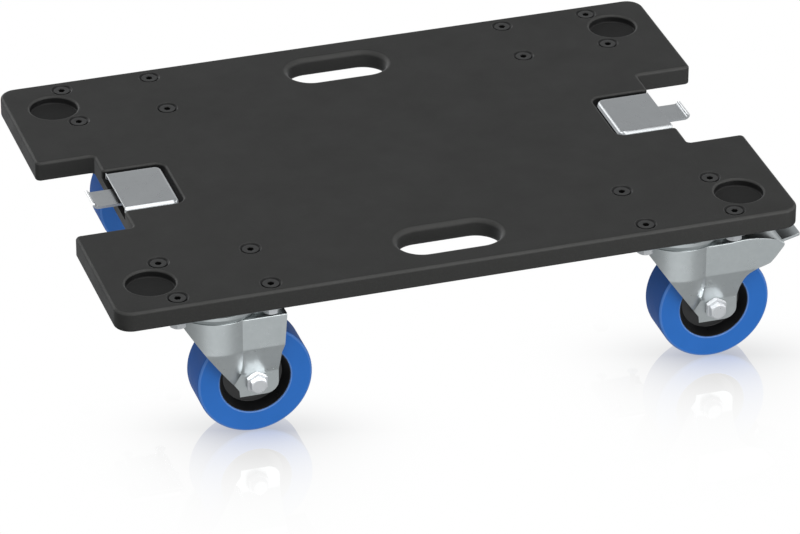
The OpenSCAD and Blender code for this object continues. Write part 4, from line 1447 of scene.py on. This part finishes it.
bg_cam = wnode("ShaderNodeBackground")
bg_cam.inputs[0].default_value = (1, 1, 1, 1)
pick = wnode("ShaderNodeMixShader")
wt.links.new(wnode("ShaderNodeLightPath").outputs["Is Camera Ray"], pick.inputs[0])
wt.links.new(bg_env.outputs[0], pick.inputs[1])
wt.links.new(bg_cam.outputs[0], pick.inputs[2])
wt.links.new(pick.outputs[0], wnode("ShaderNodeOutputWorld").inputs[0])


def area(name, toward, distance, size, power, aim=(0, 0, -0.05), spread=180.0):
    """A softbox in a given direction from the object. power is its radiance times its area."""
    li = bpy.data.lights.new(name, "AREA")
    li.shape = "RECTANGLE"
    li.size, li.size_y = size
    li.energy = power
    li.spread = math.radians(spread)
    ob = bpy.data.objects.new(name, li)
    scene.collection.objects.link(ob)
    ob.location = Vector(aim) + Vector(toward).normalized() * distance
    ob.rotation_mode = "QUATERNION"
    ob.rotation_quaternion = (Vector(aim) - ob.location).to_track_quat("-Z", "Y")
    ob.visible_camera = False
    return ob


area("softbox_front_top", (0.12, -0.45, 0.9), 2.2, (1.4, 3.6), 36)
area("softbox_front", (0.26, -0.93, 0.27), 3.0, (1.6, 1.0), 9)
area("softbox_back", (-0.45, 0.85, 0.24), 3.0, (2.0, 1.3), 15)
area("softbox_left", (-0.68, -0.3, 0.62), 3.0, (1.3, 1.2), 10)
area("softbox_right", (0.95, -0.16, 0.24), 3.0, (0.7, 0.7), 9)
# the board's front face gets a lamp of its own, and so do the axle bolts and the rims of the keepers
board_set, near_bolts, keeper_set = (bpy.data.collections.new(n) for n in ("board_lit", "bolt_shade", "keeper_lit"))
board_set.objects.link(board_ob)
lamp = area("lamp_front_low", (0.62, -0.78, 0.04), 1.9, (0.9, 0.5), 14)
lamp.light_linking.receiver_collection = board_set
for ob in bpy.data.objects:
    if ob.name.startswith("axle_bolt_") and ob.name.endswith("_finished"):
        near_bolts.objects.link(ob)
    if ob.name.startswith("keeper_") and ob.type == "MESH":
        keeper_set.objects.link(ob)
lamp = area("lamp_keepers", (-0.78, 0.12, 0.6), 3.0, (1.5, 1.5), 22)
lamp.light_linking.receiver_collection = keeper_set
for end, power in (("l", 250), ("r", 120)):
    lamp = area("lamp_bolts_" + end, (0.0, -0.035, 1.0), 2.4, (0.3, 0.3), power)
    lamp.light_linking.receiver_collection = bolt_sets[end]
    lamp.light_linking.blocker_collection = near_bolts

# camera: solved from the photograph's screw heads, board corners and wheel circles
AZ, EL, ROLL = math.radians(17.77), math.radians(29.969), math.radians(-0.162)
cam_data = bpy.data.cameras.new("camera")
cam_data.sensor_width = 36.0
cam_data.lens = 5325.0 / 800.0 * 36.0
cam_data.clip_start, cam_data.clip_end = 0.1, 60.0
cam = bpy.data.objects.new("camera", cam_data)
scene.collection.objects.link(cam)
cam.location = (-1.226, -3.8508, 2.212)
fwd = Vector((math.sin(AZ) * math.cos(EL), math.cos(AZ) * math.cos(EL), -math.sin(EL)))
cam.rotation_mode = "QUATERNION"
cam.rotation_quaternion = Quaternion(fwd, ROLL) @ fwd.to_track_quat("-Z", "Y")
scene.camera = cam
scene.view_settings.view_transform = "Standard"
